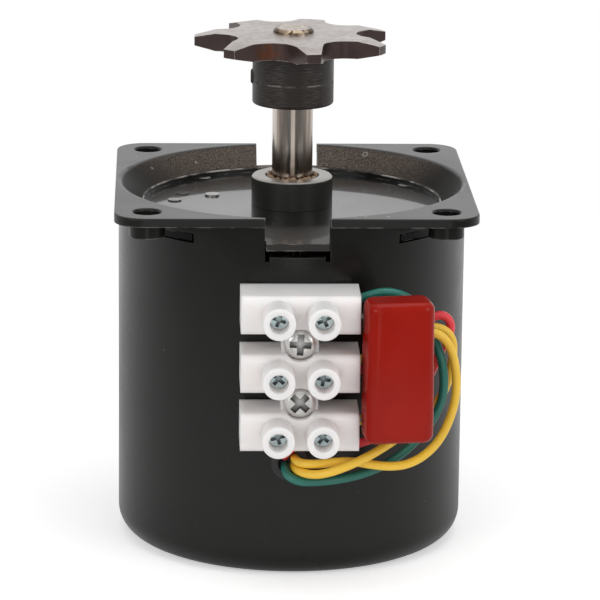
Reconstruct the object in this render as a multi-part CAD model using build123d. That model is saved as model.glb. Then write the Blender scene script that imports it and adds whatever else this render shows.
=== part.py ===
from build123d import *
import math
import os

# Capacitor-run synchronous gear motor with a chain sprocket on its output shaft.
# Millimetres. The origin is the centre of the can's flat base, +Z runs up the output shaft,
# and the terminal strip faces -Y.

# General
overrun = 1.0
running_clearance = 0.03
seat_clearance = 0.1

# Can
can_diameter = 60.0
can_wall = 1.0
can_floor = 1.0
can_bottom_radius = 4.5

# Mounting flange, a square pressing dished down into the mouth of the can
flange_top = 62.6
flange_overhang = 0.5
flange_thickness = 1.5
flange_corner_radius = 5.0
flange_edge_radius = 0.3
flange_hole_inset = 5.5
flange_hole_diameter = 4.5
flange_hole_edge_radius = 0.5
collar_diameter = 6.0
collar_length = 2.6
dish_drop = 3.4
dish_lip = 0.8
dish_lip_inset = 3.3
dish_lip_land = 0.2
dish_foot_width = 1.6
dish_mouth_inset = 0.9
dish_mouth_radius = 1.4
dish_mouth_share = 0.96

# Front and back notches with small corner reliefs, and the four slots that hold the gear plate
notch_width = 10.9
notch_gap = 1.3
notch_relief = 0.8
slot_arc = 20.0
slot_play = 0.4
slot_azimuth = 45.0

# Gear plate with two tongues that just pass the flange's edge, and four ears
gear_plate_thickness = 1.2
tongue_reach = 0.1
tongue_side_clearance = 0.2
ear_arc = 17.0
ear_reach = 0.4
stake_dot_diameter = 2.4
stake_dot_height = 0.2
stake_dot_inset = 5.2
stake_dot_azimuths = (158.0, 174.0)

# Output bush, the bare boss round the shaft
boss_diameter = 14.0
boss_height = 5.1
boss_spigot_diameter = 10.0
boss_flange_diameter = 16.0
boss_flange_thickness = 3.2
boss_edge = 0.3
countersink_diameter = 9.2
countersink_depth = 1.0

# Output shaft and what it carries
shaft_diameter = 7.0
shaft_edge = 0.4
shaft_bare_length = 12.7
shaft_end_length = 0.9
shaft_tail_length = 0.6
retaining_ring_clearance = 0.2
retaining_ring_thickness = 0.7
thrust_washer_diameter = 13.0
thrust_washer_thickness = 0.85
end_play = 0.05

# Sprocket for a half inch chain
chain_pitch = 12.7
roller_diameter = 7.75
sprocket_teeth = 7
sprocket_thickness = 3.0
sprocket_tip_diameter = 34.0
sprocket_tip_width = 2.4
sprocket_tip_thickness = 1.5
sprocket_bevel_length = 3.4
sprocket_first_tooth = -80.2
hub_diameter = 14.0
hub_height = 9.2
hub_edge = 0.4
hub_line_height = 3.9
hub_line_depth = 0.15
set_screw_diameter = 3.0
set_screw_height = 4.6
set_screw_proud = 0.3
set_screw_socket = 1.5
set_screw_socket_depth = 1.6
set_screw_edge = 0.45

# Gear train, one pinion and one wheel size throughout, as large as the plates leave room for
gear_rim_clearance = 1.95
pinion_teeth = 10
wheel_teeth = 30
pressure_angle = 25.0
addendum_share = 0.8
dedendum_share = 1.05
flank_thinning = 0.06
output_pin_azimuth = 156.0
input_pin_azimuth = 96.0
gear_pin_diameter = 2.0
gear_pin_shoulder_diameter = 4.4
gear_pin_head_diameter = 2.6
gear_pin_head_height = 0.3
gear_spacer_diameter = 4.0
gear_gap = 0.1
wheel_face = 3.0
output_gear_face = 4.0
pinion_spare = 0.4
layer_gap = 1.6

# Plates and pillars of the gear box
first_wheel_rise = 2.85
motor_plate_thickness = 1.2
pillar_diameter = 4.0
pillar_rivet_diameter = 2.4
pillar_inset = 3.3
pillar_first_azimuth = 36.0
pillar_count = 4

# Two-coil claw-pole motor
plate_rim_clearance = 0.2
pole_plate_thickness = 1.2
claw_count = 8
claw_bore_share = 0.5
claw_thickness = 1.0
claw_spread = 0.25
claw_tip_gap = 2.4
bobbin_rim_clearance = 2.2
bobbin_wall = 1.0
bobbin_bore_clearance = 0.3
winding_margin = 0.8

# Rotor
air_gap = 0.6
magnet_wall = 4.8
rotor_end_gap = 2.0
rotor_hub_inset = 0.8
rotor_shaft_diameter = 3.0
rotor_bush_diameter = 8.0
rotor_bush_collar_diameter = 9.0
rotor_bush_spigot_diameter = 6.0
rotor_bush_collar = 1.0
rotor_bush_spigot = 1.5
lower_bush_height = 2.9
lower_bush_floor = 0.75
pinion_start_gap = 0.6

# Terminal strip
terminal_x = 0.3
terminal_z = 38.3
pole_count = 3
pole_pitch = 10.0
pole_width = 19.7
pole_height = 6.5
pole_depth = 9.5
pole_edge_radius = 1.2
barrel_diameter = 4.9
barrel_bore = 3.5
barrel_inset = 2.85
barrel_back_wall = 0.5
tower_spacing = 7.4
tower_diameter = 5.4
tower_length = 5.7
tower_edge = 0.3
web_width = 6.2
web_depth = 6.8
clamp_screw_diameter = 3.0
clamp_screw_sink = 3.4
clamp_cross_width = 0.6
clamp_cross_length = 2.4
clamp_cross_depth = 0.7
clamp_cross_turns = (20.0, -25.0, 40.0, 10.0, -15.0, 35.0)
fixing_screw_diameter = 3.0
fixing_head_diameter = 5.4
fixing_head_height = 2.1
fixing_head_radius = 1.4
fixing_cross_width = 1.1
fixing_cross_length = 3.6
fixing_cross_depth = 1.1
fixing_cross_turns = (3.0, 43.0)
screw_end_stop = 0.1

# Run capacitor, a dipped block clamped by its two leads
capacitor_side_gap = 0.55
capacitor_stand = 8.9
capacitor_rise = 0.5
capacitor_width = 11.6
capacitor_thickness = 7.5
capacitor_length = 24.0
capacitor_edge_radius = 1.3
capacitor_turn = 8.0
capacitor_lead_diameter = 0.8
capacitor_lead_offset = 1.1
capacitor_lead_inset = 3.9
capacitor_lead_back = 1.4
capacitor_bend_reach = 3.9
capacitor_bend_drop = 2.0
capacitor_entry_reach = 2.2
capacitor_entry_drop = 0.4
capacitor_tip_inset = 0.1
capacitor_tip_drop = 0.2

# Rubber grommet and the four winding leads
grommet_x = -1.0
grommet_z = 20.7
grommet_flange_diameter = 6.2
grommet_flange = 0.9
grommet_neck_diameter = 5.0
grommet_bore = 4.0
lead_diameter = 1.5
lead_spread = 0.8
arc_share = 0.45

# Widths, worked out from the can
can_radius = can_diameter / 2
can_inner = can_radius - can_wall
plate_radius = can_inner - plate_rim_clearance
shaft_radius = shaft_diameter / 2
flange_width = can_diameter + flange_overhang * 2
flange_hole_pitch = flange_width - flange_hole_inset * 2
dish_outer = can_inner - seat_clearance
dish_lip_inner = dish_outer - dish_lip_inset
dish_foot_outer = dish_lip_inner + dish_foot_width
dish_mouth = flange_width / 2 - dish_mouth_inset
stake_dot_radius = dish_lip_inner - stake_dot_inset
pillar_circle_radius = plate_radius - pillar_inset

# Levels, worked up from the base
flange_under = flange_top - flange_thickness
dish_ledge = flange_top - dish_drop
gear_plate_top = dish_ledge - dish_lip
gear_plate_under = gear_plate_top - gear_plate_thickness
notch_floor = gear_plate_under - notch_gap
slot_low = gear_plate_under - seat_clearance
slot_high = slot_low + gear_plate_thickness + slot_play
boss_top = gear_plate_top + boss_height
boss_bottom = gear_plate_under - boss_flange_thickness
hub_bottom = boss_top + shaft_bare_length
sprocket_bottom = hub_bottom + hub_height
sprocket_top = sprocket_bottom + sprocket_thickness
shaft_top = sprocket_top + shaft_end_length

# Gear sizes and heights
gear_module = (plate_radius - gear_rim_clearance) / (pinion_teeth / 2 + wheel_teeth + addendum_share)
wheel_radius = gear_module * wheel_teeth / 2
pinion_radius = gear_module * pinion_teeth / 2
gear_centres = wheel_radius + pinion_radius
output_pin = Vector(gear_centres, 0, 0).rotate(Axis.Z, output_pin_azimuth)
input_pin = Vector(gear_centres, 0, 0).rotate(Axis.Z, input_pin_azimuth)
output_gear_top = boss_bottom - thrust_washer_thickness - end_play - end_play
output_gear_low = output_gear_top - output_gear_face
second_wheel_top = output_gear_low - shaft_tail_length - layer_gap / 2
second_wheel_low = second_wheel_top - wheel_face
first_wheel_top = second_wheel_low - layer_gap
first_wheel_low = first_wheel_top - wheel_face
motor_plate_top = first_wheel_low - first_wheel_rise
motor_plate_under = motor_plate_top - motor_plate_thickness
upper_bush_top = motor_plate_top + rotor_bush_collar
rotor_pinion_low = upper_bush_top + pinion_start_gap
rotor_pinion_top = first_wheel_top + pinion_spare

# Stator stack between the can's floor and the motor plate
stator_height = motor_plate_under - can_floor
lower_plate_top = can_floor + pole_plate_thickness
upper_plate_low = motor_plate_under - pole_plate_thickness
middle_plate_low = can_floor + stator_height / 2 - pole_plate_thickness
middle_plate_top = middle_plate_low + pole_plate_thickness * 2
bobbin_radius = can_inner - bobbin_rim_clearance
claw_inner = bobbin_radius * claw_bore_share
claw_outer = claw_inner + claw_thickness
claw_middle = claw_inner + claw_thickness / 2
bobbin_bore_radius = claw_outer + bobbin_bore_clearance
winding_core = bobbin_bore_radius + bobbin_wall
winding_outer = bobbin_radius - winding_margin
claw_width = claw_inner * 2 / claw_count + claw_spread
magnet_radius = claw_inner - air_gap
magnet_low = can_floor + lower_bush_height + rotor_end_gap / 2
magnet_top = motor_plate_under - rotor_bush_spigot - rotor_end_gap / 2

# Terminal strip places
terminal_back = -can_radius
terminal_front = terminal_back - pole_depth
terminal_left = terminal_x - pole_width / 2
terminal_right = terminal_x + pole_width / 2
barrel_hole_radius = (barrel_diameter + seat_clearance) / 2
barrel_y = terminal_back - barrel_back_wall - barrel_hole_radius
barrel_left = terminal_left + barrel_inset
barrel_right = terminal_right - barrel_inset
tower_bore = clamp_screw_diameter + seat_clearance * 2
tower_front = terminal_front - tower_length
pole_levels = [terminal_z + pole_pitch * (1 - pole) for pole in range(pole_count)]
tower_places = [terminal_x - tower_spacing / 2, terminal_x + tower_spacing / 2]
fixing_levels = [(high + low) / 2 for high, low in zip(pole_levels, pole_levels[1:])]
web_front = terminal_back - web_depth
capacitor_x = terminal_right + capacitor_side_gap + capacitor_width / 2
capacitor_y = terminal_back - capacitor_stand
capacitor_z = terminal_z + capacitor_rise

FLOOR = (Align.CENTER, Align.CENTER, Align.MIN)


def disc(radius, low, high, x=0, y=0):
    """A round solid standing on the level low, up to the level high."""
    return Pos(x, y, low) * Cylinder(radius, high - low, align=FLOOR)


def ring(outer, inner, low, high, x=0, y=0):
    """A round solid with a round hole through it."""
    return disc(outer, low, high, x, y) - disc(inner, low - overrun, high + overrun, x, y)


def box(x_low, x_high, y_low, y_high, z_low, z_high):
    """A plain block between the given limits."""
    place = Pos((x_low + x_high) / 2, (y_low + y_high) / 2, (z_low + z_high) / 2)
    return place * Box(x_high - x_low, y_high - y_low, z_high - z_low)


def rod_forward(radius, x, z, back, front):
    """A round solid along -Y, from the plane y = back out to the plane y = front."""
    return Pos(x, back, z) * Rot(90, 0, 0) * Cylinder(radius, back - front, align=FLOOR)


def rod_across(radius, left, right, y, z):
    """A round solid along +X."""
    return Pos(left, y, z) * Rot(0, 90, 0) * Cylinder(radius, right - left, align=FLOOR)


def arc_block(inner, outer, arc, azimuth, low, high):
    """A block of a ring, arc degrees long and centred on the azimuth."""
    start = Vector(1, 0, 0).rotate(Axis.Z, azimuth - arc / 2)
    end = Vector(1, 0, 0).rotate(Axis.Z, azimuth + arc / 2)
    middle = Vector(1, 0, 0).rotate(Axis.Z, azimuth)
    outside = ThreePointArc(start * outer, middle * outer, end * outer)
    inside = ThreePointArc(end * inner, middle * inner, start * inner)
    outline = [outside, Line(end * outer, end * inner), inside, Line(start * inner, start * outer)]
    return Pos(0, 0, low) * extrude(make_face(outline), high - low)


def corner_azimuths():
    """The azimuths of the four slots, one below each corner of the flange."""
    return [slot_azimuth + 90 * quarter for quarter in range(4)]


# Casing
def motor_can():
    """Drawn cup with a rounded bottom edge, two notches, four slots and the holes in its front."""
    body = disc(can_radius, 0, flange_under)
    body = fillet(body.edges().group_by(Axis.Z)[0], can_bottom_radius)
    hollow = disc(can_inner, can_floor, flange_under + overrun)
    hollow = fillet(hollow.edges().group_by(Axis.Z)[0], can_bottom_radius - can_wall)
    body -= hollow
    half = notch_width / 2
    for side in (-1, 1):
        near, far = sorted((side * (can_inner - overrun), side * (can_radius + overrun)))
        body -= box(-half, half, near, far, notch_floor, flange_under + overrun)
        for edge in (-1, 1):
            corner = Pos(edge * (half - notch_relief / 2), (near + far) / 2, notch_floor)
            body -= corner * Box(notch_relief, far - near, notch_relief * 2)
    for azimuth in corner_azimuths():
        body -= arc_block(can_inner - overrun, can_radius + overrun, slot_arc, azimuth, slot_low, slot_high)
    for level in fixing_levels:
        hole_radius = fixing_screw_diameter / 2 + seat_clearance / 2
        body -= rod_forward(hole_radius, terminal_x, level, -can_inner + overrun, -can_radius - overrun)
    body -= rod_forward(grommet_neck_diameter / 2, grommet_x, grommet_z,
                        -can_inner + overrun, -can_radius - overrun)
    return body


def mounting_flange():
    """Square flange with four drawn holes, funnelled down to a lip that rests on the gear plate."""
    square = RectangleRounded(flange_width, flange_width, flange_corner_radius)
    body = Pos(0, 0, flange_under) * extrude(square, flange_thickness)
    body = fillet(body.edges().group_by(Axis.Z)[-1], flange_edge_radius)
    foot = Cone(dish_foot_outer, dish_outer, flange_under - gear_plate_top, align=FLOOR)
    body += Pos(0, 0, gear_plate_top) * foot
    above = flange_top + overrun
    body -= disc(dish_lip_inner, gear_plate_top - overrun, above)
    land = dish_lip_inner + dish_lip_land
    slope_run = dish_mouth - land
    flare = overrun * slope_run / dish_drop
    body -= revolve(make_face(Polyline((0, 0, dish_ledge), (land, 0, dish_ledge), (dish_mouth + flare, 0, above),
                                       (0, 0, above), close=True)), Axis.Z)
    mouth = body.edges().filter_by(GeomType.CIRCLE).group_by(Axis.Z)[-1]
    mouth = mouth.filter_by(lambda edge: abs(edge.radius - dish_mouth) < flange_edge_radius)
    mouth_room = flange_width / 2 - flange_edge_radius - dish_mouth
    half_turn = math.atan2(dish_drop, slope_run) / 2
    body = fillet(mouth, min(dish_mouth_radius, mouth_room * dish_mouth_share / math.tan(half_turn)))
    places = [(x, y) for x in (-1, 1) for y in (-1, 1)]
    hole_radius = flange_hole_diameter / 2
    collar_low = flange_under - collar_length
    for side_x, side_y in places:
        x = side_x * flange_hole_pitch / 2
        y = side_y * flange_hole_pitch / 2
        body += disc(collar_diameter / 2, collar_low, flange_under, x, y)
        body -= disc(hole_radius, collar_low - overrun, above, x, y)
    rims = body.edges().filter_by(GeomType.CIRCLE).group_by(Axis.Z)[-1]
    rims = rims.filter_by(lambda edge: abs(edge.radius - hole_radius) < flange_hole_edge_radius / 2)
    body = fillet(rims, flange_hole_edge_radius)
    half = notch_width / 2
    edge = flange_width / 2 + overrun
    body -= box(-half, half, -edge, overrun - dish_lip_inner, gear_plate_top - overrun, above)
    body -= box(-half, half, dish_lip_inner, edge, dish_ledge, above)
    return body


def gear_plate():
    """Round plate under the dish, keyed to the can by two tongues and four ears."""
    body = disc(plate_radius, gear_plate_under, gear_plate_top)
    half = notch_width / 2 - tongue_side_clearance
    reach = flange_width / 2 + tongue_reach
    body += box(-half, half, -reach, reach, gear_plate_under, gear_plate_top)
    for azimuth in corner_azimuths():
        body += arc_block(plate_radius - overrun, can_inner + ear_reach, ear_arc, azimuth,
                          gear_plate_under, gear_plate_top)
    for azimuth in stake_dot_azimuths:
        place = Vector(stake_dot_radius, 0, 0).rotate(Axis.Z, azimuth)
        dot_top = gear_plate_top + stake_dot_height
        body += disc(stake_dot_diameter / 2, gear_plate_top, dot_top, place.X, place.Y)
    below = gear_plate_under - overrun
    above = gear_plate_top + overrun
    body -= disc(boss_spigot_diameter / 2, below, above)
    for pin in (output_pin, input_pin):
        body -= disc(gear_pin_diameter / 2, below, above, pin.X, pin.Y)
    for pillar in pillar_places():
        body -= disc(pillar_rivet_diameter / 2, below, above, pillar.X, pillar.Y)
    return body


def output_bush():
    """Turned bush: the boss above the plate, a spigot through it and a staked flange below."""
    body = disc(boss_diameter / 2, gear_plate_top, boss_top)
    body = chamfer(body.edges().group_by(Axis.Z)[-1], boss_edge)
    body += disc(boss_spigot_diameter / 2, gear_plate_under, gear_plate_top)
    body += disc(boss_flange_diameter / 2, boss_bottom, gear_plate_under)
    body -= disc(shaft_radius + running_clearance, boss_bottom - overrun, boss_top + overrun)
    body -= disc(countersink_diameter / 2, boss_top - countersink_depth, boss_top + overrun)
    return body


# Output shaft, sprocket and hub
def output_shaft():
    """Plain round shaft from below the output gear to just above the sprocket."""
    body = disc(shaft_radius, output_gear_low - shaft_tail_length, shaft_top)
    return chamfer(body.edges().group_by(Axis.Z)[-1], shaft_edge)


def retaining_ring():
    """Ring on the shaft, sunk in the top of the boss."""
    low = boss_top - countersink_depth + end_play
    outer = countersink_diameter / 2 - retaining_ring_clearance
    return ring(outer, shaft_radius, low, low + retaining_ring_thickness)


def thrust_washer():
    """Washer between the output gear and the bush."""
    low = output_gear_top + end_play
    return ring(thrust_washer_diameter / 2, shaft_radius, low, low + thrust_washer_thickness)


def sprocket_plate():
    """Seven-tooth sprocket with round roller seats and teeth bevelled towards narrow tips."""
    tip_radius = sprocket_tip_diameter / 2
    pitch_radius = chain_pitch / 2 / math.sin(math.pi / sprocket_teeth)
    step = 360 / sprocket_teeth
    profile = Circle(tip_radius)
    seat_radius = roller_diameter / 2
    half_step = math.radians(step / 2)
    tip_half = sprocket_tip_width / 2
    tip_side = Vector(tip_radius * math.cos(half_step) + tip_half * math.sin(half_step),
                      tip_radius * math.sin(half_step) - tip_half * math.cos(half_step), 0)
    seat = Vector(pitch_radius, 0, 0)
    reach = (tip_side - seat).length
    lean = math.degrees(math.atan2(tip_side.Y, tip_side.X - pitch_radius))
    touch = lean + math.degrees(math.acos(seat_radius / reach))
    flank = seat + Vector(seat_radius, 0, 0).rotate(Axis.Z, touch)
    beyond = tip_side + (tip_side - flank).normalized() * overrun
    mirror = [Vector(point.X, -point.Y, 0) for point in (flank, beyond)]
    gap = make_face([
        ThreePointArc(flank, seat - Vector(seat_radius, 0, 0), mirror[0]),
        Line(mirror[0], mirror[1]),
        Line(mirror[1], Vector(tip_radius + overrun * 2, 0, 0)),
        Line(Vector(tip_radius + overrun * 2, 0, 0), beyond),
        Line(beyond, flank),
    ])
    for tooth in range(sprocket_teeth):
        profile -= Rot(0, 0, sprocket_first_tooth + step * (tooth + 1 / 2)) * gap
    body = Pos(0, 0, sprocket_bottom) * extrude(profile, sprocket_thickness)
    drop = (sprocket_thickness - sprocket_tip_thickness) / 2
    inner = tip_radius - sprocket_bevel_length
    outer = tip_radius + overrun
    slope = drop / sprocket_bevel_length
    for level, way in ((sprocket_top, -1), (sprocket_bottom, 1)):
        low_edge = level + way * (drop + slope * overrun)
        shaving = make_face(Polyline((inner, 0, level), (outer, 0, low_edge),
                                     (outer, 0, level - way * overrun), (inner, 0, level - way * overrun),
                                     close=True))
        body -= revolve(shaving, Axis.Z)
    return body - disc(shaft_radius, sprocket_bottom - overrun, sprocket_top + overrun)


def set_screw_level():
    """Height of the set screw's axis."""
    return hub_bottom + set_screw_height


def sprocket_hub():
    """Turned hub with a fine tool line and a tapped hole for the set screw."""
    body = disc(hub_diameter / 2, hub_bottom, sprocket_bottom)
    body = fillet(body.edges().group_by(Axis.Z)[0], hub_edge)
    line_low = hub_bottom + hub_line_height
    line_radius = hub_diameter / 2 - hub_line_depth
    body -= ring(hub_diameter / 2 + overrun, line_radius, line_low, line_low + hub_line_depth)
    body -= disc(shaft_radius, hub_bottom - overrun, sprocket_bottom + overrun)
    body -= rod_across(set_screw_diameter / 2, -hub_diameter / 2 - overrun, 0, 0, set_screw_level())
    return body


def set_screw():
    """Socket set screw that clamps the hub to the shaft."""
    left = -hub_diameter / 2 - set_screw_proud
    right = -shaft_radius
    body = rod_across(set_screw_diameter / 2, left, right, 0, set_screw_level())
    body = chamfer(body.edges().group_by(Axis.X)[0], set_screw_edge)
    socket = Pos(left, 0, set_screw_level()) * Rot(0, 90, 0)
    body -= socket * extrude(RegularPolygon(set_screw_socket / 2, 6), set_screw_socket_depth)
    return body


# Gear train
def gear_face(teeth):
    """Involute gear outline with its first tooth on +X, thinned for backlash."""
    pitch_radius = gear_module * teeth / 2
    base_radius = pitch_radius * math.cos(math.radians(pressure_angle))
    tip_radius = pitch_radius + gear_module * addendum_share
    root_radius = pitch_radius - gear_module * dedendum_share
    start_radius = max(base_radius, root_radius)
    alpha = math.radians(pressure_angle)
    half_tooth = math.pi / teeth / 2 - flank_thinning / 2 / pitch_radius + math.tan(alpha) - alpha
    flank_shares = (0, 1 / 4, 1 / 2, 3 / 4, 1)
    flank = []
    for share in flank_shares:
        radius = start_radius + (tip_radius - start_radius) * share
        phi = math.acos(min(1, base_radius / radius))
        flank.append((radius, half_tooth - math.tan(phi) + phi))
    points = []
    for tooth in range(teeth):
        middle = 2 * math.pi * tooth / teeth
        rising = [(root_radius, -flank[0][1])] + [(radius, -angle) for radius, angle in flank]
        falling = [(radius, angle) for radius, angle in reversed(flank)] + [(root_radius, flank[0][1])]
        if start_radius == root_radius:
            rising = rising[1:]
            falling = falling[:-1]
        for radius, angle in rising + falling:
            points.append((radius * math.cos(middle + angle), radius * math.sin(middle + angle)))
    return make_face(Polyline(*points, close=True))


def gear(teeth, turn, low, high, x=0, y=0):
    """A spur gear blank with one tooth centred at the azimuth turn."""
    return Pos(x, y, low) * Rot(0, 0, turn) * extrude(gear_face(teeth), high - low)


def gap_towards(azimuth, teeth):
    """Turn that puts a gap between two teeth at the azimuth."""
    return azimuth + 180 / teeth


def between_pins():
    """Azimuth of the input pin as seen from the output pin."""
    reach = input_pin - output_pin
    return math.degrees(math.atan2(reach.Y, reach.X))


def output_gear():
    """Wheel fixed to the output shaft."""
    body = gear(wheel_teeth, output_pin_azimuth, output_gear_low, output_gear_top)
    return body - disc(shaft_radius, output_gear_low - overrun, output_gear_top + overrun)


def second_gear():
    """Cluster on the output pin: its wheel is driven and its pinion drives the output gear."""
    top = output_gear_top + pinion_spare
    body = gear(wheel_teeth, between_pins(), second_wheel_low, second_wheel_top, output_pin.X, output_pin.Y)
    body += gear(pinion_teeth, gap_towards(output_pin_azimuth + 180, pinion_teeth), second_wheel_top, top,
                 output_pin.X, output_pin.Y)
    bore = gear_pin_diameter / 2 + running_clearance
    return body - disc(bore, second_wheel_low - overrun, top + overrun, output_pin.X, output_pin.Y)


def first_gear():
    """Cluster on the input pin, driven by the rotor."""
    top = second_wheel_top + pinion_spare
    body = gear(wheel_teeth, input_pin_azimuth + 180, first_wheel_low, first_wheel_top, input_pin.X, input_pin.Y)
    body += gear(pinion_teeth, gap_towards(between_pins() + 180, pinion_teeth), first_wheel_top, top,
                 input_pin.X, input_pin.Y)
    bore = gear_pin_diameter / 2 + running_clearance
    return body - disc(bore, first_wheel_low - overrun, top + overrun, input_pin.X, input_pin.Y)


def rotor_pinion():
    """Pinion on the rotor's shaft."""
    body = gear(pinion_teeth, gap_towards(input_pin_azimuth, pinion_teeth), rotor_pinion_low, rotor_pinion_top)
    return body - disc(rotor_shaft_diameter / 2, rotor_pinion_low - overrun, rotor_pinion_top + overrun)


def gear_pin(place, shoulder_top):
    """Fixed pin: riveted through the gear plate, shouldered above the motor plate."""
    body = disc(gear_pin_diameter / 2, motor_plate_under, gear_plate_top, place.X, place.Y)
    body += disc(gear_pin_shoulder_diameter / 2, motor_plate_top, shoulder_top - gear_gap, place.X, place.Y)
    head_top = gear_plate_top + gear_pin_head_height
    body += disc(gear_pin_head_diameter / 2, gear_plate_top, head_top, place.X, place.Y)
    return body


def gear_pins():
    """The two fixed pins that carry the gear clusters."""
    return [gear_pin(output_pin, second_wheel_low), gear_pin(input_pin, first_wheel_low)]


def gear_spacers():
    """Tubes on the pins that keep the clusters down."""
    tubes = []
    for pin, below in ((output_pin, output_gear_top), (input_pin, second_wheel_top)):
        low = below + pinion_spare + gear_gap
        tubes.append(ring(gear_spacer_diameter / 2, gear_pin_diameter / 2, low, gear_plate_under, pin.X, pin.Y))
    return tubes


def pillar_places():
    """Axes of the pillars between the two plates."""
    step = 360 / pillar_count
    start = Vector(pillar_circle_radius, 0, 0)
    return [start.rotate(Axis.Z, pillar_first_azimuth + step * pillar) for pillar in range(pillar_count)]


def plate_pillars():
    """Shouldered pillars riveted into both plates."""
    pillars = []
    for place in pillar_places():
        body = disc(pillar_diameter / 2, motor_plate_top, gear_plate_under, place.X, place.Y)
        body += disc(pillar_rivet_diameter / 2, motor_plate_under, gear_plate_top, place.X, place.Y)
        pillars.append(body)
    return pillars


def motor_plate():
    """Plate that closes the motor and floors the gear box."""
    body = disc(plate_radius, motor_plate_under, motor_plate_top)
    below = motor_plate_under - overrun
    above = motor_plate_top + overrun
    body -= disc(rotor_bush_spigot_diameter / 2, below, above)
    for pin in (output_pin, input_pin):
        body -= disc(gear_pin_diameter / 2, below, above, pin.X, pin.Y)
    for pillar in pillar_places():
        body -= disc(pillar_rivet_diameter / 2, below, above, pillar.X, pillar.Y)
    return body


# Motor
def claws(low, high, first_azimuth):
    """A crown of pole fingers round the rotor."""
    fingers = []
    for claw in range(claw_count):
        finger = box(claw_inner, claw_outer, -claw_width / 2, claw_width / 2, low, high)
        finger &= ring(claw_outer, claw_inner, low, high)
        fingers.append(Rot(0, 0, first_azimuth + 360 / claw_count * claw) * finger)
    return fingers


def pole_plate(low, high, outer_radius, hole_radius, crowns):
    """Steel plate with its crowns of fingers."""
    body = ring(outer_radius, hole_radius, low, high)
    for crown in crowns:
        for finger in crown:
            body += finger
    return body


def lower_pole_plate():
    """Bottom plate of the stator, with fingers up and the seat of the lower bush."""
    crown = claws(can_floor, middle_plate_low - claw_tip_gap, 0)
    flat_radius = plate_radius - can_bottom_radius + can_wall
    return pole_plate(can_floor, lower_plate_top, flat_radius, rotor_bush_diameter / 2, [crown])


def middle_pole_plate():
    """Double plate between the coils, with fingers down and, turned by a quarter pole, fingers up."""
    half_step = 180 / claw_count
    down = claws(lower_plate_top + claw_tip_gap, middle_plate_low + pole_plate_thickness, half_step)
    up = claws(middle_plate_top - pole_plate_thickness, upper_plate_low - claw_tip_gap, half_step / 2)
    return pole_plate(middle_plate_low, middle_plate_top, plate_radius, claw_middle, [down, up])


def upper_pole_plate():
    """Top plate of the stator, with fingers down."""
    half_step = 180 / claw_count
    crown = claws(middle_plate_top + claw_tip_gap, motor_plate_under, half_step * 3 / 2)
    return pole_plate(upper_plate_low, motor_plate_under, plate_radius, claw_middle, [crown])


def coil_bobbin(low, high):
    """Moulded spool between two pole plates."""
    floor = low + seat_clearance
    top = high - seat_clearance
    body = ring(bobbin_radius, bobbin_bore_radius, floor, top)
    return body - ring(bobbin_radius + overrun, winding_core, floor + bobbin_wall, top - bobbin_wall)


def coil_winding(low, high):
    """Copper winding that fills the spool."""
    inset = seat_clearance + bobbin_wall
    return ring(winding_outer, winding_core, low + inset, high - inset)


def lower_bush():
    """Blind bush that carries the foot of the rotor shaft."""
    top = can_floor + lower_bush_height
    body = disc(rotor_bush_diameter / 2, can_floor, top)
    return body - disc(rotor_shaft_diameter / 2 + running_clearance, can_floor + lower_bush_floor, top + overrun)


def upper_bush():
    """Flanged bush in the motor plate."""
    body = disc(rotor_bush_spigot_diameter / 2, motor_plate_under - rotor_bush_spigot, motor_plate_top)
    body += disc(rotor_bush_collar_diameter / 2, motor_plate_top, upper_bush_top)
    bore = rotor_shaft_diameter / 2 + running_clearance
    return body - disc(bore, motor_plate_under - rotor_bush_spigot - overrun, upper_bush_top + overrun)


def rotor_shaft():
    """Thin shaft from the blind bush up to the pinion."""
    return disc(rotor_shaft_diameter / 2, can_floor + lower_bush_floor + end_play, rotor_pinion_top)


def rotor_magnet():
    """Ring magnet."""
    return ring(magnet_radius, magnet_radius - magnet_wall, magnet_low, magnet_top)


def rotor_hub():
    """Moulded hub between the magnet and the shaft."""
    low = magnet_low + rotor_hub_inset
    return ring(magnet_radius - magnet_wall, rotor_shaft_diameter / 2, low, magnet_top - rotor_hub_inset)


# Terminal strip
def terminal_body():
    """Moulded strip: three poles with two screw towers each, joined by webs that take the fixing screws."""
    body = None
    half = pole_height / 2
    for level in pole_levels:
        pole = box(terminal_left, terminal_right, terminal_front, terminal_back, level - half, level + half)
        pole = fillet(pole.edges().filter_by(Axis.X).group_by(Axis.Y)[0], pole_edge_radius)
        for x in tower_places:
            tower = rod_forward(tower_diameter / 2, x, level, terminal_back - pole_depth / 2, tower_front)
            pole += fillet(tower.edges().group_by(Axis.Y)[0], tower_edge)
        body = pole if body is None else body + pole
    web_half = web_width / 2
    for level in fixing_levels:
        body += box(terminal_x - web_half, terminal_x + web_half, web_front, terminal_back,
                    level - pole_pitch / 2, level + pole_pitch / 2)
    for level in pole_levels:
        body -= rod_across(barrel_hole_radius, terminal_left - overrun, terminal_right + overrun, barrel_y, level)
        for x in tower_places:
            body -= rod_forward(tower_bore / 2, x, level, barrel_y, tower_front - overrun)
    for level in fixing_levels:
        body -= rod_forward(fixing_screw_diameter / 2 + seat_clearance, terminal_x, level,
                            terminal_back + overrun, web_front - overrun)
        head_room = fixing_head_diameter / 2 + seat_clearance
        body -= rod_forward(head_room, terminal_x, level, web_front, tower_front - overrun)
    return body


def terminal_barrels():
    """Brass barrels, each tapped for its two clamp screws."""
    barrels = []
    for level in pole_levels:
        barrel = rod_across(barrel_diameter / 2, barrel_left, barrel_right, barrel_y, level)
        barrel -= rod_across(barrel_bore / 2, barrel_left - overrun, barrel_right + overrun, barrel_y, level)
        for x in tower_places:
            barrel -= rod_forward(clamp_screw_diameter / 2, x, level, barrel_y, barrel_y - barrel_diameter)
        barrels.append(barrel)
    return barrels


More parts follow.
